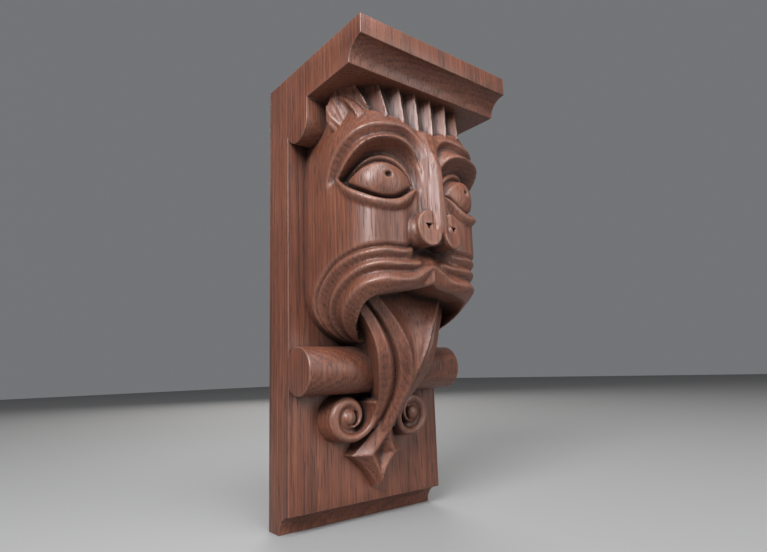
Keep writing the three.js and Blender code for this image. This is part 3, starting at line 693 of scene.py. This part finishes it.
# %% The lozenge on its pattern
LOZENGE = {"half_width": 24, "middle": 49.5, "below": 25, "above": 36, "hollow": 0.8, "top": 86}
RECESS = {"half_width": 11.1, "below": 17.5, "above": 18.5, "depth": 7.5}
LOZENGE_OUT, LOZENGE_SWEEP = 45, {"start": 32, "length": 48, "rise": 20, "bend": 2.2}
LOZENGE_BEVEL, LOZENGE_OVERRUN = 9, 1.3
LOZENGE_LOW, LOZENGE_HIGH = (0, 16), (36, 96)


def up_or_down(rise, form):
    return np.abs(rise) / np.where(rise > 0, form["above"], form["below"])


def draw_lozenge_gauge(x, height):
    upright = up_or_down(height - LOZENGE["middle"], LOZENGE)
    power = LOZENGE["hollow"]
    return ((np.abs(x) / LOZENGE["half_width"]) ** power + upright**power) ** (1 / power)


def draw_lozenge(x, height):
    rise = height - LOZENGE["middle"]
    sideways, upright = x / LOZENGE["half_width"], up_or_down(rise, LOZENGE)
    lean = sideways / (sideways + upright + TINY)
    rim_upright = np.where(rise > 0, RECESS["above"] / LOZENGE["above"], RECESS["below"] / LOZENGE["below"])
    rim = lean * RECESS["half_width"] / LOZENGE["half_width"] + (1 - lean) * rim_upright
    swept = np.clip((height - LOZENGE_SWEEP["start"]) / LOZENGE_SWEEP["length"], 0, None)
    front = LOZENGE_OUT + LOZENGE_SWEEP["rise"] * swept ** LOZENGE_SWEEP["bend"]
    beyond_rim = (draw_lozenge_gauge(x, height) - rim) / (1 - rim)
    bevelled = front - LOZENGE_BEVEL * np.clip(beyond_rim, 0, LOZENGE_OVERRUN)
    sunk = x / RECESS["half_width"] + up_or_down(rise, RECESS)
    return bevelled - RECESS["depth"] * np.clip(1 - sunk, 0, None)


lozenge_front = Pattern(LOZENGE_LOW, LOZENGE_HIGH, draw_lozenge, scrapings=1)
lozenge_gauge = Pattern(LOZENGE_LOW, LOZENGE_HIGH, draw_lozenge_gauge)
print(f"lozenge {2 * LOZENGE['half_width']} mm wide, sunk {RECESS['depth']} mm")

# %% The lozenge as a solid
LOZENGE_DRAFT, LOZENGE_WALL = 0.12, 14


def lozenge_solid(x, out, height):
    front = lozenge_front(x, height)
    wall = LOZENGE_WALL * (lozenge_gauge(x, height) - 1) - LOZENGE_DRAFT * np.clip(front - out, 0, None)
    return common(wall, (out - front) * FRONT_SHARE, height - LOZENGE["top"])


# %% [markdown]
# ## Carving the block
# All these solids are joined and cut as numbers on a grid: the smaller of two values joins, and the
# larger of one and the other's negative cuts. The grid ends a little inside the board and the cap.

# %% Everything that is carved
BOARD, ROOT_IN_BOARD, ROOT_IN_CAP = 29, 6.5, 1.4
LOBE_BLEND = 0.8


def carving(x, out, height):
    x = np.abs(x)
    wood = head_solid(x, out, height)
    blend = NOSE_BLEND + (NOSE_ROOT_BLEND - NOSE_BLEND) * eased(height, *NOSE_ROOT)
    wood = softer_min(wood, nose_solid(x, out, height), blend)
    wood = softer_min(wood, lobe_solid(x, out, height), LOBE_BLEND)
    wood = np.maximum(wood, -nostril_hole(x, out, height))
    for solid in (fringe_solid, lock_solid, ear_solid):
        wood = np.minimum(wood, solid(x, out, height))
    wood = -softer_min(-wood, mouth_hole(x, out, height), MOUTH_ROUNDING)
    for solid in (tongue_solid, strand_solid, scroll_solid, lozenge_solid):
        wood = np.minimum(wood, solid(x, out, height))
    return common(wood, height - SOFFIT - ROOT_IN_CAP, BOARD - ROOT_IN_BOARD - out)


# %% The carving as numbers on a grid
CELL = 1.0
GRID_HALF, GRID_OUT, GRID_HEIGHT = 68, (20.2, 124), (20.3, 311)
half_x = CELL * np.arange(int(GRID_HALF / CELL) + 1)
grid_out = np.arange(*GRID_OUT, CELL)
grid_height = np.arange(*GRID_HEIGHT, CELL)
half_values = carving(half_x[:, None, None], grid_out[None, :, None], grid_height[None, None, :])
values = np.concatenate([half_values[:0:-1], half_values])
grid_x = np.concatenate([-half_x[:0:-1], half_x])
print(f"carving grid {values.shape}, {np.count_nonzero(values < 0) * CELL**3 / 1000:.0f} cubic centimetres")

# %% [markdown]
# ## From numbers to a skin
# Dual contouring puts a point in each cell that the surface crosses, where the tangent planes at the
# crossings meet best. Unlike a plain voxel remesh, it keeps the crisp arrises a chisel leaves. Where two
# sheets of the surface pass through one cell, as in a narrow groove, each sheet gets its own point.

# %% Sheets of the surface in a cell
CORNERS = [(i, j, k) for i in (0, 1) for j in (0, 1) for k in (0, 1)]
FACE_LOOP = ((0, 0), (1, 0), (1, 1), (0, 1))
SHEETS = 4


def other_axes(axis):
    return [a for a in range(3) if a != axis]


def cell_faces():
    for axis in range(3):
        for side in (0, 1):
            yield [tuple(np.insert(spot, axis, side)) for spot in FACE_LOOP]


def edge_number(first, second):
    axis = int(np.flatnonzero(np.subtract(first, second))[0])
    one, other = other_axes(axis)
    return 4 * axis + 2 * first[one] + first[other]


# %% Which edges of a cell share a sheet
def sheets(code):
    """The sheet that each of a cell's twelve edges belongs to, for one pattern of wood at its corners."""
    wood = {corner for bit, corner in enumerate(CORNERS) if code >> bit & 1}
    sheet = list(range(12))
    crossed = set()
    for loop in cell_faces():
        ends = [pair for pair in zip(loop, loop[1:] + loop[:1]) if (pair[0] in wood) != (pair[1] in wood)]
        crossed.update(edge_number(*pair) for pair in ends)
        groups = [ends] if len(ends) == 2 else [[p for p in ends if c in p] for c in loop if c in wood]
        for group in groups:
            numbers = [edge_number(*pair) for pair in group]
            joined = {sheet[number] for number in numbers}
            sheet = [min(joined) if s in joined else s for s in sheet]
    names = sorted({sheet[number] for number in crossed})
    return [names.index(s) if n in crossed else 0 for n, s in enumerate(sheet)]


SHEET_OF = np.array([sheets(code) for code in range(256)])
print(f"cell patterns with more than one sheet: {np.count_nonzero(SHEET_OF.max(axis=1))}")

# %% [markdown]
# Four cells lie round each grid edge that the surface crosses, and their points make one four-sided face.
# In the rare place where four faces meet along one line, the cells beside it are filled with wood.

# %% Faces of the skin
axes = (grid_x, grid_out, grid_height)
cells = tuple(n - 1 for n in values.shape)
strides = np.array([cells[1] * cells[2], cells[2], 1])


def corner_view(corner):
    return values[tuple(slice(c, c + n) for c, n in zip(corner, cells))]


def skin_faces():
    """The crossed grid edges of each axis, and the numbers of the four points round each."""
    code = sum((corner_view(corner) < 0).astype(int) << bit for bit, corner in enumerate(CORNERS)).ravel()
    crossings, rings = [], []
    for axis in range(3):
        one, other = other_axes(axis)
        inside = np.moveaxis(values < 0, axis, 0)
        edge = np.argwhere(np.moveaxis(inside[:-1] != inside[1:], 0, axis))
        begins_inside = values[tuple(edge.T)] < 0
        ring = []
        for back_one, back_other in ((1, 1), (0, 1), (0, 0), (1, 0)):
            cell = edge.copy()
            cell[:, one] -= back_one
            cell[:, other] -= back_other
            number = cell @ strides
            ring.append(SHEETS * number + SHEET_OF[code[number], 4 * axis + 2 * back_one + back_other])
        ring = np.stack(ring, axis=1)
        turn_over = begins_inside if axis == 1 else ~begins_inside
        ring[turn_over] = ring[turn_over][:, ::-1]
        crossings.append((axis, edge, begins_inside))
        rings.append(ring)
    return crossings, np.concatenate(rings)


# %% Fill the crowded cells
JUST_INSIDE = -0.05 * CELL


def fill_crowded_cells(rings):
    lines = np.sort(np.stack([rings, np.roll(rings, -1, axis=1)], axis=-1).reshape(-1, 2), axis=1)
    lines, uses = np.unique(lines, axis=0, return_counts=True)
    crowded = np.unique(lines[uses > 2] // SHEETS)
    where = np.unravel_index(crowded, cells)
    for corner in CORNERS:
        view = corner_view(corner)
        view[where] = np.minimum(view[where], JUST_INSIDE)
    return len(crowded)


crossings, rings = skin_faces()
while fill_crowded_cells(rings):
    crossings, rings = skin_faces()
print(f"{len(rings)} crossings of the grid")

# %% Where the surface crosses the grid
REFINING_STEPS, SLOPE_STEP = 5, 0.25
places, slopes = [], []
for axis, edge, begins_inside in crossings:
    corner = np.stack([axes[a][edge[:, a]] for a in range(3)], axis=1)
    low, high = np.zeros(len(edge)), np.ones(len(edge))
    for _ in range(REFINING_STEPS):
        share = (low + high) / 2
        point = corner.copy()
        point[:, axis] += share * CELL
        same = (carving(*point.T) < 0) == begins_inside
        low, high = np.where(same, share, low), np.where(same, high, share)
    point = corner.copy()
    point[:, axis] += (low + high) / 2 * CELL
    slope = np.empty_like(point)
    for a in range(3):
        step = SLOPE_STEP * np.eye(3)[a]
        slope[:, a] = carving(*(point + step).T) - carving(*(point - step).T)
    places.append(point)
    slopes.append(slope / (np.linalg.norm(slope, axis=1, keepdims=True) + TINY))
places, slopes = np.concatenate(places), np.concatenate(slopes)
print(f"{len(places)} crossings found to {CELL / 2**REFINING_STEPS:.3f} mm")

# %% One point for each sheet
crossed, corner_of = np.unique(rings, return_inverse=True)
corner_of = corner_of.reshape(rings.shape)
count = len(crossed)


def summed(amount):
    return np.bincount(corner_of.ravel(), np.repeat(amount, 4), count)


# %% Where the tangent planes meet
FLATNESS, CELL_MARGIN = 0.06, 0.02
hits = summed(np.ones(len(places)))
middle = np.stack([summed(places[:, a]) / hits for a in range(3)], axis=1)
offset = np.einsum("ij,ij->i", slopes, places)
normal_sums = np.empty((count, 3, 3))
pull = np.empty((count, 3))
for a in range(3):
    pull[:, a] = summed(slopes[:, a] * offset)
    for b in range(3):
        normal_sums[:, a, b] = summed(slopes[:, a] * slopes[:, b])
pull -= np.einsum("nab,nb->na", normal_sums, middle)
sizes, directions = np.linalg.eigh(normal_sums)
keep = sizes > FLATNESS * sizes[:, -1:]
inverse = np.where(keep, 1 / np.where(keep, sizes, 1), 0)
shift = np.einsum("nab,nb,ncb,nc->na", directions, inverse, directions, pull)
cell_index = np.stack(np.unravel_index(crossed // SHEETS, cells), axis=1)
cell_low = np.stack([axes[a][cell_index[:, a]] for a in range(3)], axis=1)
points = np.clip(middle + shift, cell_low + CELL_MARGIN * CELL, cell_low + (1 - CELL_MARGIN) * CELL)
print(f"carving skin: {count} points and {len(corner_of)} four-sided faces")

# %% [markdown]
# A scraper takes off the last small steps. Each point moves part of the way to the middle of its
# neighbours and then a little back out, so that the steps go and the form keeps its size.

# %% Scrape the skin
SCRAPES, SCRAPE_IN, SCRAPE_OUT = 8, 0.5, -0.52
skin_starts = np.concatenate([corner_of, np.roll(corner_of, 1, axis=1)]).ravel()
skin_ends = np.concatenate([np.roll(corner_of, 1, axis=1), corner_of]).ravel()
skin_neighbours = np.bincount(skin_starts, minlength=count)[:, None]
for share in (SCRAPE_IN, SCRAPE_OUT) * SCRAPES:
    sums = np.stack([np.bincount(skin_starts, column[skin_ends], count) for column in points.T], axis=1)
    points = points + share * (sums / skin_neighbours - points)
print(f"scraped {count} points {SCRAPES} times")


# %% The carving as a mesh
def mesh_object(name, points, faces):
    mesh = bpy.data.meshes.new(name)
    mesh.from_pydata(points.tolist(), [], faces)
    mesh.update()
    piece = bpy.data.objects.new(name, mesh)
    bpy.context.scene.collection.objects.link(piece)
    return piece


carved_skin = mesh_object("carved_skin", in_frame(*points.T), corner_of.tolist())
print(f"carved skin: {len(carved_skin.data.polygons)} faces")

# %% [markdown]
# ## The block, cap and bar
# Board, cap and bed roll are one moulding section run across the width, and a round bar lies on the
# board. They could come off the same grid, but straight runs are truer as extruded sections. A narrow
# bevel eases their arrises as a scraper does, so that they catch a thin line of light.

# %% The moulding section
CAP_COVE, FOOT_COVE = 14, 14
BED_ROLL = {"radius": 15, "stilt": 15, "out": 42.5}
ARC_STEPS = 20


def arc(centre, radius, start, stop):
    turns = np.linspace(start, stop, ARC_STEPS)
    return [(centre[0] + radius * math.cos(t), centre[1] + radius * math.sin(t)) for t in turns]


def moulding_section():
    bed_height = SOFFIT - BED_ROLL["stilt"]
    meets = math.acos((BED_ROLL["out"] - BOARD) / BED_ROLL["radius"])
    section = [(0, 0)]
    section += arc((BOARD, 0), FOOT_COVE, math.pi, math.pi / 2)
    section += arc((BED_ROLL["out"], bed_height), BED_ROLL["radius"], math.pi + meets, 2 * math.pi)
    section += [(BED_ROLL["out"] + BED_ROLL["radius"], SOFFIT)]
    section += arc((DEPTH, SOFFIT), CAP_COVE, math.pi, math.pi / 2)
    return section + [(DEPTH, HEIGHT), (0, HEIGHT)]


# %% Run the moulding and the bar across the block
BAR = {"radius": 17, "out": 42, "height": 111, "sides": 72}


def run_across(name, section):
    """A section, given as out and height, run right across the block."""
    count = len(section)
    outs, heights = np.array(section).T
    ends = [in_frame(side * WIDTH / 2, outs, heights) for side in (-1, 1)]
    faces = [[i, (i + 1) % count, count + (i + 1) % count, count + i] for i in range(count)]
    faces += [list(range(count))[::-1], list(range(count, 2 * count))]
    piece = mesh_object(name, np.concatenate(ends), faces)
    piece.data.flip_normals()
    return piece


turns = np.linspace(0, 2 * math.pi, BAR["sides"], endpoint=False)
bar_section = [(BAR["out"] + BAR["radius"] * math.cos(t), BAR["height"] + BAR["radius"] * math.sin(t))
               for t in turns]
moulding = run_across("moulding", moulding_section())
bar = run_across("bar", bar_section)
print(f"moulding with {len(moulding.data.polygons)} faces, bar with {len(bar.data.polygons)}")

# %% [markdown]
# The bevel goes on each part before they are joined, so that it eases only their own arrises. The joins
# are Boolean unions. They leave one closed skin, as the real thing is one piece of wood.

# %% Two helpers for meshes
def apply_modifier(piece, kind, **settings):
    modifier = piece.modifiers.new(kind.lower(), kind)
    for name, value in settings.items():
        setattr(modifier, name, value)
    shown = bpy.context.evaluated_depsgraph_get()
    made = bpy.data.meshes.new_from_object(piece.evaluated_get(shown))
    piece.modifiers.clear()
    old, piece.data = piece.data, made
    bpy.data.meshes.remove(old)


def outward(piece):
    skin = bmesh.new()
    skin.from_mesh(piece.data)
    bmesh.ops.recalc_face_normals(skin, faces=skin.faces)
    skin.to_mesh(piece.data)
    skin.free()


# %% Ease the arrises and join everything
EASED_ARRIS, ARRIS_STEPS, ARRIS_ANGLE, ARRIS_SLOT = 0.9, 2, math.radians(35), 1
KEPT_SHARE = 0.86
oak = bpy.data.materials.new("waxed_oak")
arris_mark = bpy.data.materials.new("arris_mark")
for piece in (moulding, bar, carved_skin):
    outward(piece)
    piece.data.materials.append(oak)
    piece.data.materials.append(arris_mark)
for piece in (moulding, bar):
    apply_modifier(piece, "BEVEL", width=EASED_ARRIS * MM, segments=ARRIS_STEPS, limit_method="ANGLE",
                   angle_limit=ARRIS_ANGLE, material=ARRIS_SLOT)
for tool in (bar, carved_skin):
    apply_modifier(moulding, "BOOLEAN", object=tool, operation="UNION", solver="MANIFOLD")
    bpy.data.objects.remove(tool)
apply_modifier(moulding, "DECIMATE", ratio=KEPT_SHARE)
corbel = moulding
corbel.name = "carved_corbel"
print(f"joined corbel: {len(corbel.data.polygons)} faces")

# %% [markdown]
# ## Wear, painted highlights and painted shade
# Handling rubs the arrises paler, and the paler arrises also paint in the thin line of light they catch. The
# grooves are darkened as painted shade. How far each point stands out from a smoothed copy of the skin tells
# the two apart, and is kept on the mesh for the finish to read.

# %% Read the mesh
def read(items, name, width=1, kind=float):
    """One property of all a mesh's points, edges or faces, as rows of numbers."""
    numbers = np.empty(width * len(items), kind)
    items.foreach_get(name, numbers)
    return numbers.reshape(-1, width) if width > 1 else numbers


SHORT_EDGE = 2.6
mesh = corbel.data
spots = read(mesh.vertices, "co", 3) / MM
normals = read(mesh.vertex_normals, "vector", 3)
pairs = read(mesh.edges, "vertices", 2, int)
pairs = pairs[np.linalg.norm(spots[pairs[:, 0]] - spots[pairs[:, 1]], axis=1) < SHORT_EDGE]
ends = np.concatenate([pairs[:, 0], pairs[:, 1]])
others = np.concatenate([pairs[:, 1], pairs[:, 0]])
neighbours = np.bincount(ends, minlength=len(spots))[:, None]
print(f"{len(spots)} points, {len(pairs)} short edges between them")

# %% Measure arrises and grooves
ARRIS_ROUNDS, GROOVE_ROUNDS, SPREAD_ROUNDS = 5, 60, 2
FULLY_WORN_AND_LIT, FULLY_SHADED_GROOVE = 0.22, 0.85
PLAINLY = 0.3


def smoothed(amounts, rounds):
    for _ in range(rounds):
        sums = np.stack([np.bincount(ends, column[others], len(spots)) for column in amounts.T], axis=1)
        means = 0.5 * amounts + 0.5 * sums / np.maximum(neighbours, 1)
        amounts = np.where(neighbours > 0, means, amounts)
    return amounts


stands_out = np.einsum("ij,ij->i", normals, spots - smoothed(spots, ARRIS_ROUNDS))
lies_deep = -np.einsum("ij,ij->i", normals, spots - smoothed(spots, GROOVE_ROUNDS))
# Paler on arrises: partly rubbed wear, partly a painted highlight for the line of light an arris catches.
wear_and_highlight = np.clip(stands_out / FULLY_WORN_AND_LIT, 0, 1)
# Darker in the grooves: this mask paints shade into the colour.
groove_shade = np.clip(lies_deep / FULLY_SHADED_GROOVE, 0, 1)
wear_and_highlight, groove_shade = smoothed(np.stack([wear_and_highlight, groove_shade], axis=1), SPREAD_ROUNDS).T
print(f"worn points {np.mean(wear_and_highlight > PLAINLY):.0%}, grimy points {np.mean(groove_shade > PLAINLY):.0%}")

# %% Keep them on the mesh
BIG_FACE, ARRIS_WEAR_AND_HIGHLIGHT, SHARP_FROM = 12, 0.7, math.radians(48)
slots = read(mesh.polygons, "material_index", kind=int)
loop_counts = read(mesh.polygons, "loop_total", kind=int)
loop_points = read(mesh.loops, "vertex_index", kind=int)
big = np.repeat(read(mesh.polygons, "area") / MM**2 > BIG_FACE, loop_counts)
on_arris = np.repeat(slots == ARRIS_SLOT, loop_counts)
# Bevel faces take the paler arris amount, wear and painted highlight; grooves keep their painted shade.
for name, amount, arris_amount in (("wear_and_highlight", wear_and_highlight, ARRIS_WEAR_AND_HIGHLIGHT), ("groove_shade", groove_shade, 0)):
    layer = mesh.attributes.new(name, "FLOAT", "CORNER")
    layer.data.foreach_set("value", np.where(on_arris, arris_amount, np.where(big, 0, amount[loop_points])))
mesh.polygons.foreach_set("material_index", np.zeros(len(mesh.polygons), int))
mesh.materials.pop(index=ARRIS_SLOT)
bpy.data.materials.remove(arris_mark)
mesh.polygons.foreach_set("use_smooth", np.ones(len(mesh.polygons), bool))
mesh.set_sharp_from_angle(angle=SHARP_FROM)
print(f"arris faces {np.count_nonzero(slots == ARRIS_SLOT)}, triangles {np.sum(loop_counts - 2)}")

# %% [markdown]
# ## The finish
# Oak is a solid pattern: growth rings about an upright pith behind the block, with open pores drawn out
# along the grain. Because it is worked out in space, the grain runs through every cut as it should.

# %% Numbers on shader wires
class Value:
    """A number on a shader wire that can be added to, taken from and multiplied."""

    def __init__(self, finish, socket):
        self.finish, self.socket = finish, socket

    def maths(self, operation, first, second):
        return self.finish.node("ShaderNodeMath", {"operation": operation}, {0: first, 1: second})

    def __add__(self, other):
        return self.maths("ADD", self, other)

    def __sub__(self, other):
        return self.maths("SUBTRACT", self, other)

    def __rsub__(self, other):
        return self.maths("SUBTRACT", other, self)

    def __mul__(self, other):
        return self.maths("MULTIPLY", self, other)

    def __truediv__(self, other):
        return self.maths("DIVIDE", self, other)

    __radd__ = __add__
    __rmul__ = __mul__


# %% Nodes of one material
class Finish:
    """Builds the nodes of one material."""

    def __init__(self, material):
        material.use_nodes = True
        self.tree = material.node_tree
        self.tree.nodes.clear()

    def node(self, kind, settings, inputs, output=0):
        node = self.tree.nodes.new(kind)
        for name, setting in settings.items():
            if name == "stops":
                stops = node.color_ramp.elements
                for spot, (position, colour) in enumerate(setting):
                    stop = stops[spot] if spot < len(stops) else stops.new(position)
                    stop.position, stop.color = position, colour
            else:
                setattr(node, name, setting)
        for name, value in inputs.items():
            if isinstance(value, Value):
                self.tree.links.new(value.socket, node.inputs[name])
            else:
                node.inputs[name].default_value = value
        return Value(self, node.outputs[output]) if node.outputs else None

    def noise(self, place, detail=2.0, roughness=0.5):
        return self.node("ShaderNodeTexNoise", {}, {"Vector": place, "Scale": 1.0, "Detail": detail,
                                                    "Roughness": roughness})

    def stretched(self, place, scale):
        return self.node("ShaderNodeVectorMath", {"operation": "MULTIPLY"}, {0: place, 1: scale})

    def mix(self, factor, first, second):
        return self.node("ShaderNodeMix", {"data_type": "RGBA"}, {0: factor, 6: first, 7: second}, output=2)

    def between(self, value, low, high):
        return self.node("ShaderNodeMapRange", {"interpolation_type": "SMOOTHSTEP"},
                         {"Value": value, "From Min": low, "From Max": high})


# %% Growth rings
PITH, RING_WIDTH, EARLY_WOOD = (0.055, 0.21), 0.0036, (0.05, 0.75)
SWAY, SWAY_SCALE = 0.012, (14, 14, 2.2)
wood = Finish(oak)
place = wood.node("ShaderNodeTexCoord", {}, {}, output="Object")
sway = wood.noise(wood.stretched(place, SWAY_SCALE), detail=3)
parts = wood.node("ShaderNodeSeparateXYZ", {}, {0: place})
across = Value(wood, parts.socket.node.outputs[0])
into_wall = Value(wood, parts.socket.node.outputs[1])
from_pith_x, from_pith_y = across - PITH[0], into_wall - PITH[1]
pith_distance = wood.node("ShaderNodeMath", {"operation": "SQRT"},
                          {0: from_pith_x * from_pith_x + from_pith_y * from_pith_y})
ring = wood.node("ShaderNodeMath", {"operation": "FRACT"}, {0: (pith_distance + sway * SWAY) / RING_WIDTH})
early_wood = 1 - wood.between(ring, *EARLY_WOOD)
print(f"waxed oak: growth rings {RING_WIDTH / MM:.1f} mm apart")

# %% Fibres, pores and streaks
FIBRE_SCALE, PORE_SCALE = (1500, 1500, 55), (820, 820, 48)
STREAK_SCALE, CLOUD_SCALE = (680, 680, 10), (22, 22, 12)
PORE_LIMITS, PORES_IN_EARLY_WOOD = (0.60, 0.70), 0.06
fibres = wood.noise(wood.stretched(place, FIBRE_SCALE), detail=3, roughness=0.6)
pore_field = wood.noise(wood.stretched(place, PORE_SCALE), detail=1)
pores = wood.between(pore_field + early_wood * PORES_IN_EARLY_WOOD, *PORE_LIMITS)
streaks = wood.noise(wood.stretched(place, STREAK_SCALE), detail=4, roughness=0.62)
clouds = wood.noise(wood.stretched(place, CLOUD_SCALE), detail=3)
print(f"pores drawn out {PORE_SCALE[0] / PORE_SCALE[2]:.0f} times along the grain")

# %% [markdown]
# The stain is mid brown, redder where it is thin, and nearly black in the pores. Where the wood is sheltered,
# which Blender's ambient occlusion node measures, and in the marked grooves, shade is painted into the
# colour.
# Rubbed arrises show paler wood, which also paints in the highlight that an arris catches.

# %% Colour
DARK, MID, LIGHT = (0.034, 0.0098, 0.0048, 1), (0.110, 0.0320, 0.0150, 1), (0.190, 0.070, 0.037, 1)
# The last two colours: pale rubbed arrises, partly a painted highlight, and the near-black of painted shade.
RUBBED_AND_LIT, PAINTED_SHADE = (0.215, 0.110, 0.076, 1), (0.0072, 0.0032, 0.0024, 1)
STAIN_STOPS = [(0.38, DARK), (0.58, MID), (0.78, LIGHT)]
TONE = {"streaks": 0.48, "clouds": 0.30, "late_wood": 0.06, "fibres": 0.30}
SHELTER = {"samples": 8, "only_local": True}
SHELTER_REACH, PAINTED_SHADE_LIMITS, GROOVE_SHADE_WEIGHT = 0.026, (0.32, 1.0), 0.35
PORE_COVER, WEAR_AND_HIGHLIGHT_COVER, PAINTED_SHADE_COVER = 0.70, 0.32, 0.85
wear_and_highlight_mark = wood.node("ShaderNodeAttribute", {"attribute_name": "wear_and_highlight"}, {}, output="Fac")
groove_shade_mark = wood.node("ShaderNodeAttribute", {"attribute_name": "groove_shade"}, {}, output="Fac")
shelter = wood.node("ShaderNodeAmbientOcclusion", SHELTER, {"Distance": SHELTER_REACH}, output="AO")
# Shelter from ambient occlusion and the marked grooves: where shade is painted into the colour.
painted_shade = wood.between(1 - shelter + groove_shade_mark * GROOVE_SHADE_WEIGHT, *PAINTED_SHADE_LIMITS)
tone = (streaks * TONE["streaks"] + clouds * TONE["clouds"] + (1 - early_wood) * TONE["late_wood"]
        + fibres * TONE["fibres"])
stain = wood.node("ShaderNodeValToRGB", {"stops": STAIN_STOPS}, {0: tone})
porous = wood.mix(pores * PORE_COVER, stain, DARK)
# Arrises lightened: rubbed wear and a painted highlight.
rubbed_and_lit = wood.mix(wear_and_highlight_mark * WEAR_AND_HIGHLIGHT_COVER, porous, RUBBED_AND_LIT)
# Hollows and grooves darkened: painted shade.
colour = wood.mix(painted_shade * PAINTED_SHADE_COVER, rubbed_and_lit, PAINTED_SHADE)
print(f"grime from hollows within {SHELTER_REACH / MM:.0f} mm")

# %% [markdown]
# Wax gives a low sheen that is duller in the pores and where shade is painted. The open pores and the
# fibres are too fine to model, so a bump tilts the light on them, and a thin coat stands for the wax.

# %% Sheen and fine relief
WAX_ROUGHNESS, DULLED, POLISHED = 0.43, {"pores": 0.2, "fibres": 0.14, "painted_shade": 0.2}, 0.05
RAISED, BUMP = {"fibres": 0.35, "streaks": 0.5, "pores": 0.9}, {"Strength": 0.30, "Distance": 0.0005}
WAX_COAT = {"Specular IOR Level": 0.5, "Coat Weight": 0.15, "Coat Roughness": 0.28}
dulled = pores * DULLED["pores"] + fibres * DULLED["fibres"] + painted_shade * DULLED["painted_shade"]
sheen = WAX_ROUGHNESS + dulled - wear_and_highlight_mark * POLISHED
relief = fibres * RAISED["fibres"] + streaks * RAISED["streaks"] - pores * RAISED["pores"]
bump = wood.node("ShaderNodeBump", {}, {"Height": relief, **BUMP})
surface = wood.node("ShaderNodeBsdfPrincipled", {}, {"Base Color": colour, "Roughness": sheen, "Normal": bump,
                                                     **WAX_COAT})
wood.node("ShaderNodeOutputMaterial", {}, {"Surface": surface})
print(f"oak material with {len(oak.node_tree.nodes)} nodes")

# %% [markdown]
# ## Setting the corbel in its frame
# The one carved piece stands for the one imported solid, and moves with its body. It could be cut into
# several pieces, but the real corbel is one block, so one piece replaces the solid whole.

# %% Tie the piece to the frame
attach(corbel, "root")
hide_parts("corbel")
print(f"{corbel.name} replaces the packed solid")

# %% [markdown]
# ## Studio
# A plain pale floor lies under the corbel, and a dim, slightly blue world fills the shadows. Both are
# there only to look at the corbel.

# %% Floor and world
FLOOR_SIZE, FLOOR_GREY, FLOOR_ROUGHNESS = 8.0, (0.23, 0.226, 0.222, 1), 0.8
WORLD_COLOUR, WORLD_STRENGTH = (0.86, 0.88, 0.92, 1), 0.2
floor_corners = np.array([(-1, -1, 0), (1, -1, 0), (1, 1, 0), (-1, 1, 0)]) * FLOOR_SIZE / 2
floor = mesh_object("floor", floor_corners, [[0, 1, 2, 3]])
floor.location.z = BLOCK_LOW.z
pale = bpy.data.materials.new("pale_floor")
pale_nodes = Finish(pale)
pale_surface = pale_nodes.node("ShaderNodeBsdfPrincipled", {}, {"Base Color": FLOOR_GREY,
                                                                "Roughness": FLOOR_ROUGHNESS})
pale_nodes.node("ShaderNodeOutputMaterial", {}, {"Surface": pale_surface})
floor.data.materials.append(pale)
world = bpy.data.worlds.new("studio")
world.use_nodes = True
background = world.node_tree.nodes["Background"].inputs
background["Color"].default_value, background["Strength"].default_value = WORLD_COLOUR, WORLD_STRENGTH
bpy.context.scene.world = world
print(f"floor {FLOOR_SIZE} m wide at {floor.location.z / MM:.1f} mm")

# %% [markdown]
# Daylight from a window comes from the left as a large soft light. A cooler one stands higher over the
# front, a weak warm one on the right keeps the shadows open, and one behind shows the back.

# %% Soft lights
def soft_light(name, azimuth, elevation, distance, size, watts, colour):
    lamp = bpy.data.lights.new(name, "AREA")
    lamp.shape, lamp.size, lamp.energy, lamp.color = "DISK", size, watts, colour
    turn, rise = math.radians(azimuth), math.radians(elevation)
    way = Vector((math.sin(turn) * math.cos(rise), -math.cos(turn) * math.cos(rise), math.sin(rise)))
    light = bpy.data.objects.new(name, lamp)
    light.location = way * distance
    light.rotation_euler = way.to_track_quat("Z", "Y").to_euler()
    bpy.context.scene.collection.objects.link(light)
    print(f"{name}: {watts} W from {azimuth} degrees")


soft_light("window_light", azimuth=-56, elevation=29, distance=1.5, size=0.7, watts=38,
           colour=(0.95, 0.97, 1.0))
soft_light("ceiling_light", azimuth=-18, elevation=54, distance=1.5, size=0.9, watts=21,
           colour=(0.92, 0.96, 1.0))
soft_light("fill_light", azimuth=24, elevation=12, distance=1.8, size=1.2, watts=14,
           colour=(1.0, 0.95, 0.91))
soft_light("back_light", azimuth=152, elevation=28, distance=1.8, size=1.2, watts=16,
           colour=(1.0, 0.98, 0.96))
bpy.context.scene.view_settings.view_transform = "Standard"

# %% [markdown]
# The camera stands low on the left and looks slightly up, turned a little about its own axis. It could
# be placed by eye, but the straight edges of the block fix it better, so its place was fitted to them.

# %% Camera
FRAME_WIDTH_PX, FOCAL_PX, SENSOR, CLIP_START = 767, 538.24, 36.0, 0.01
CAMERA_X, CAMERA_OUT, CAMERA_HEIGHT = -255.09, 371.79, 110.22
AZIMUTH, ELEVATION, ROLL = (math.radians(angle) for angle in (38.602, 9.890, -1.904))
ahead = Vector((math.sin(AZIMUTH) * math.cos(ELEVATION), math.cos(AZIMUTH) * math.cos(ELEVATION),
                math.sin(ELEVATION)))
level_right = Vector((math.cos(AZIMUTH), -math.sin(AZIMUTH), 0))
level_up = level_right.cross(ahead)
right = math.cos(ROLL) * level_right + math.sin(ROLL) * level_up
up = math.cos(ROLL) * level_up - math.sin(ROLL) * level_right
lens = bpy.data.cameras.new("camera")
lens.sensor_width, lens.lens = SENSOR, SENSOR * FOCAL_PX / FRAME_WIDTH_PX
lens.clip_start = CLIP_START
camera = bpy.data.objects.new("camera", lens)
camera.matrix_world = Matrix.Translation(in_frame(CAMERA_X, CAMERA_OUT, CAMERA_HEIGHT)) @ Matrix(
    (right, up, -ahead)).transposed().to_4x4()
bpy.context.scene.collection.objects.link(camera)
bpy.context.scene.camera = camera
print(f"camera with a {lens.lens:.1f} mm lens")
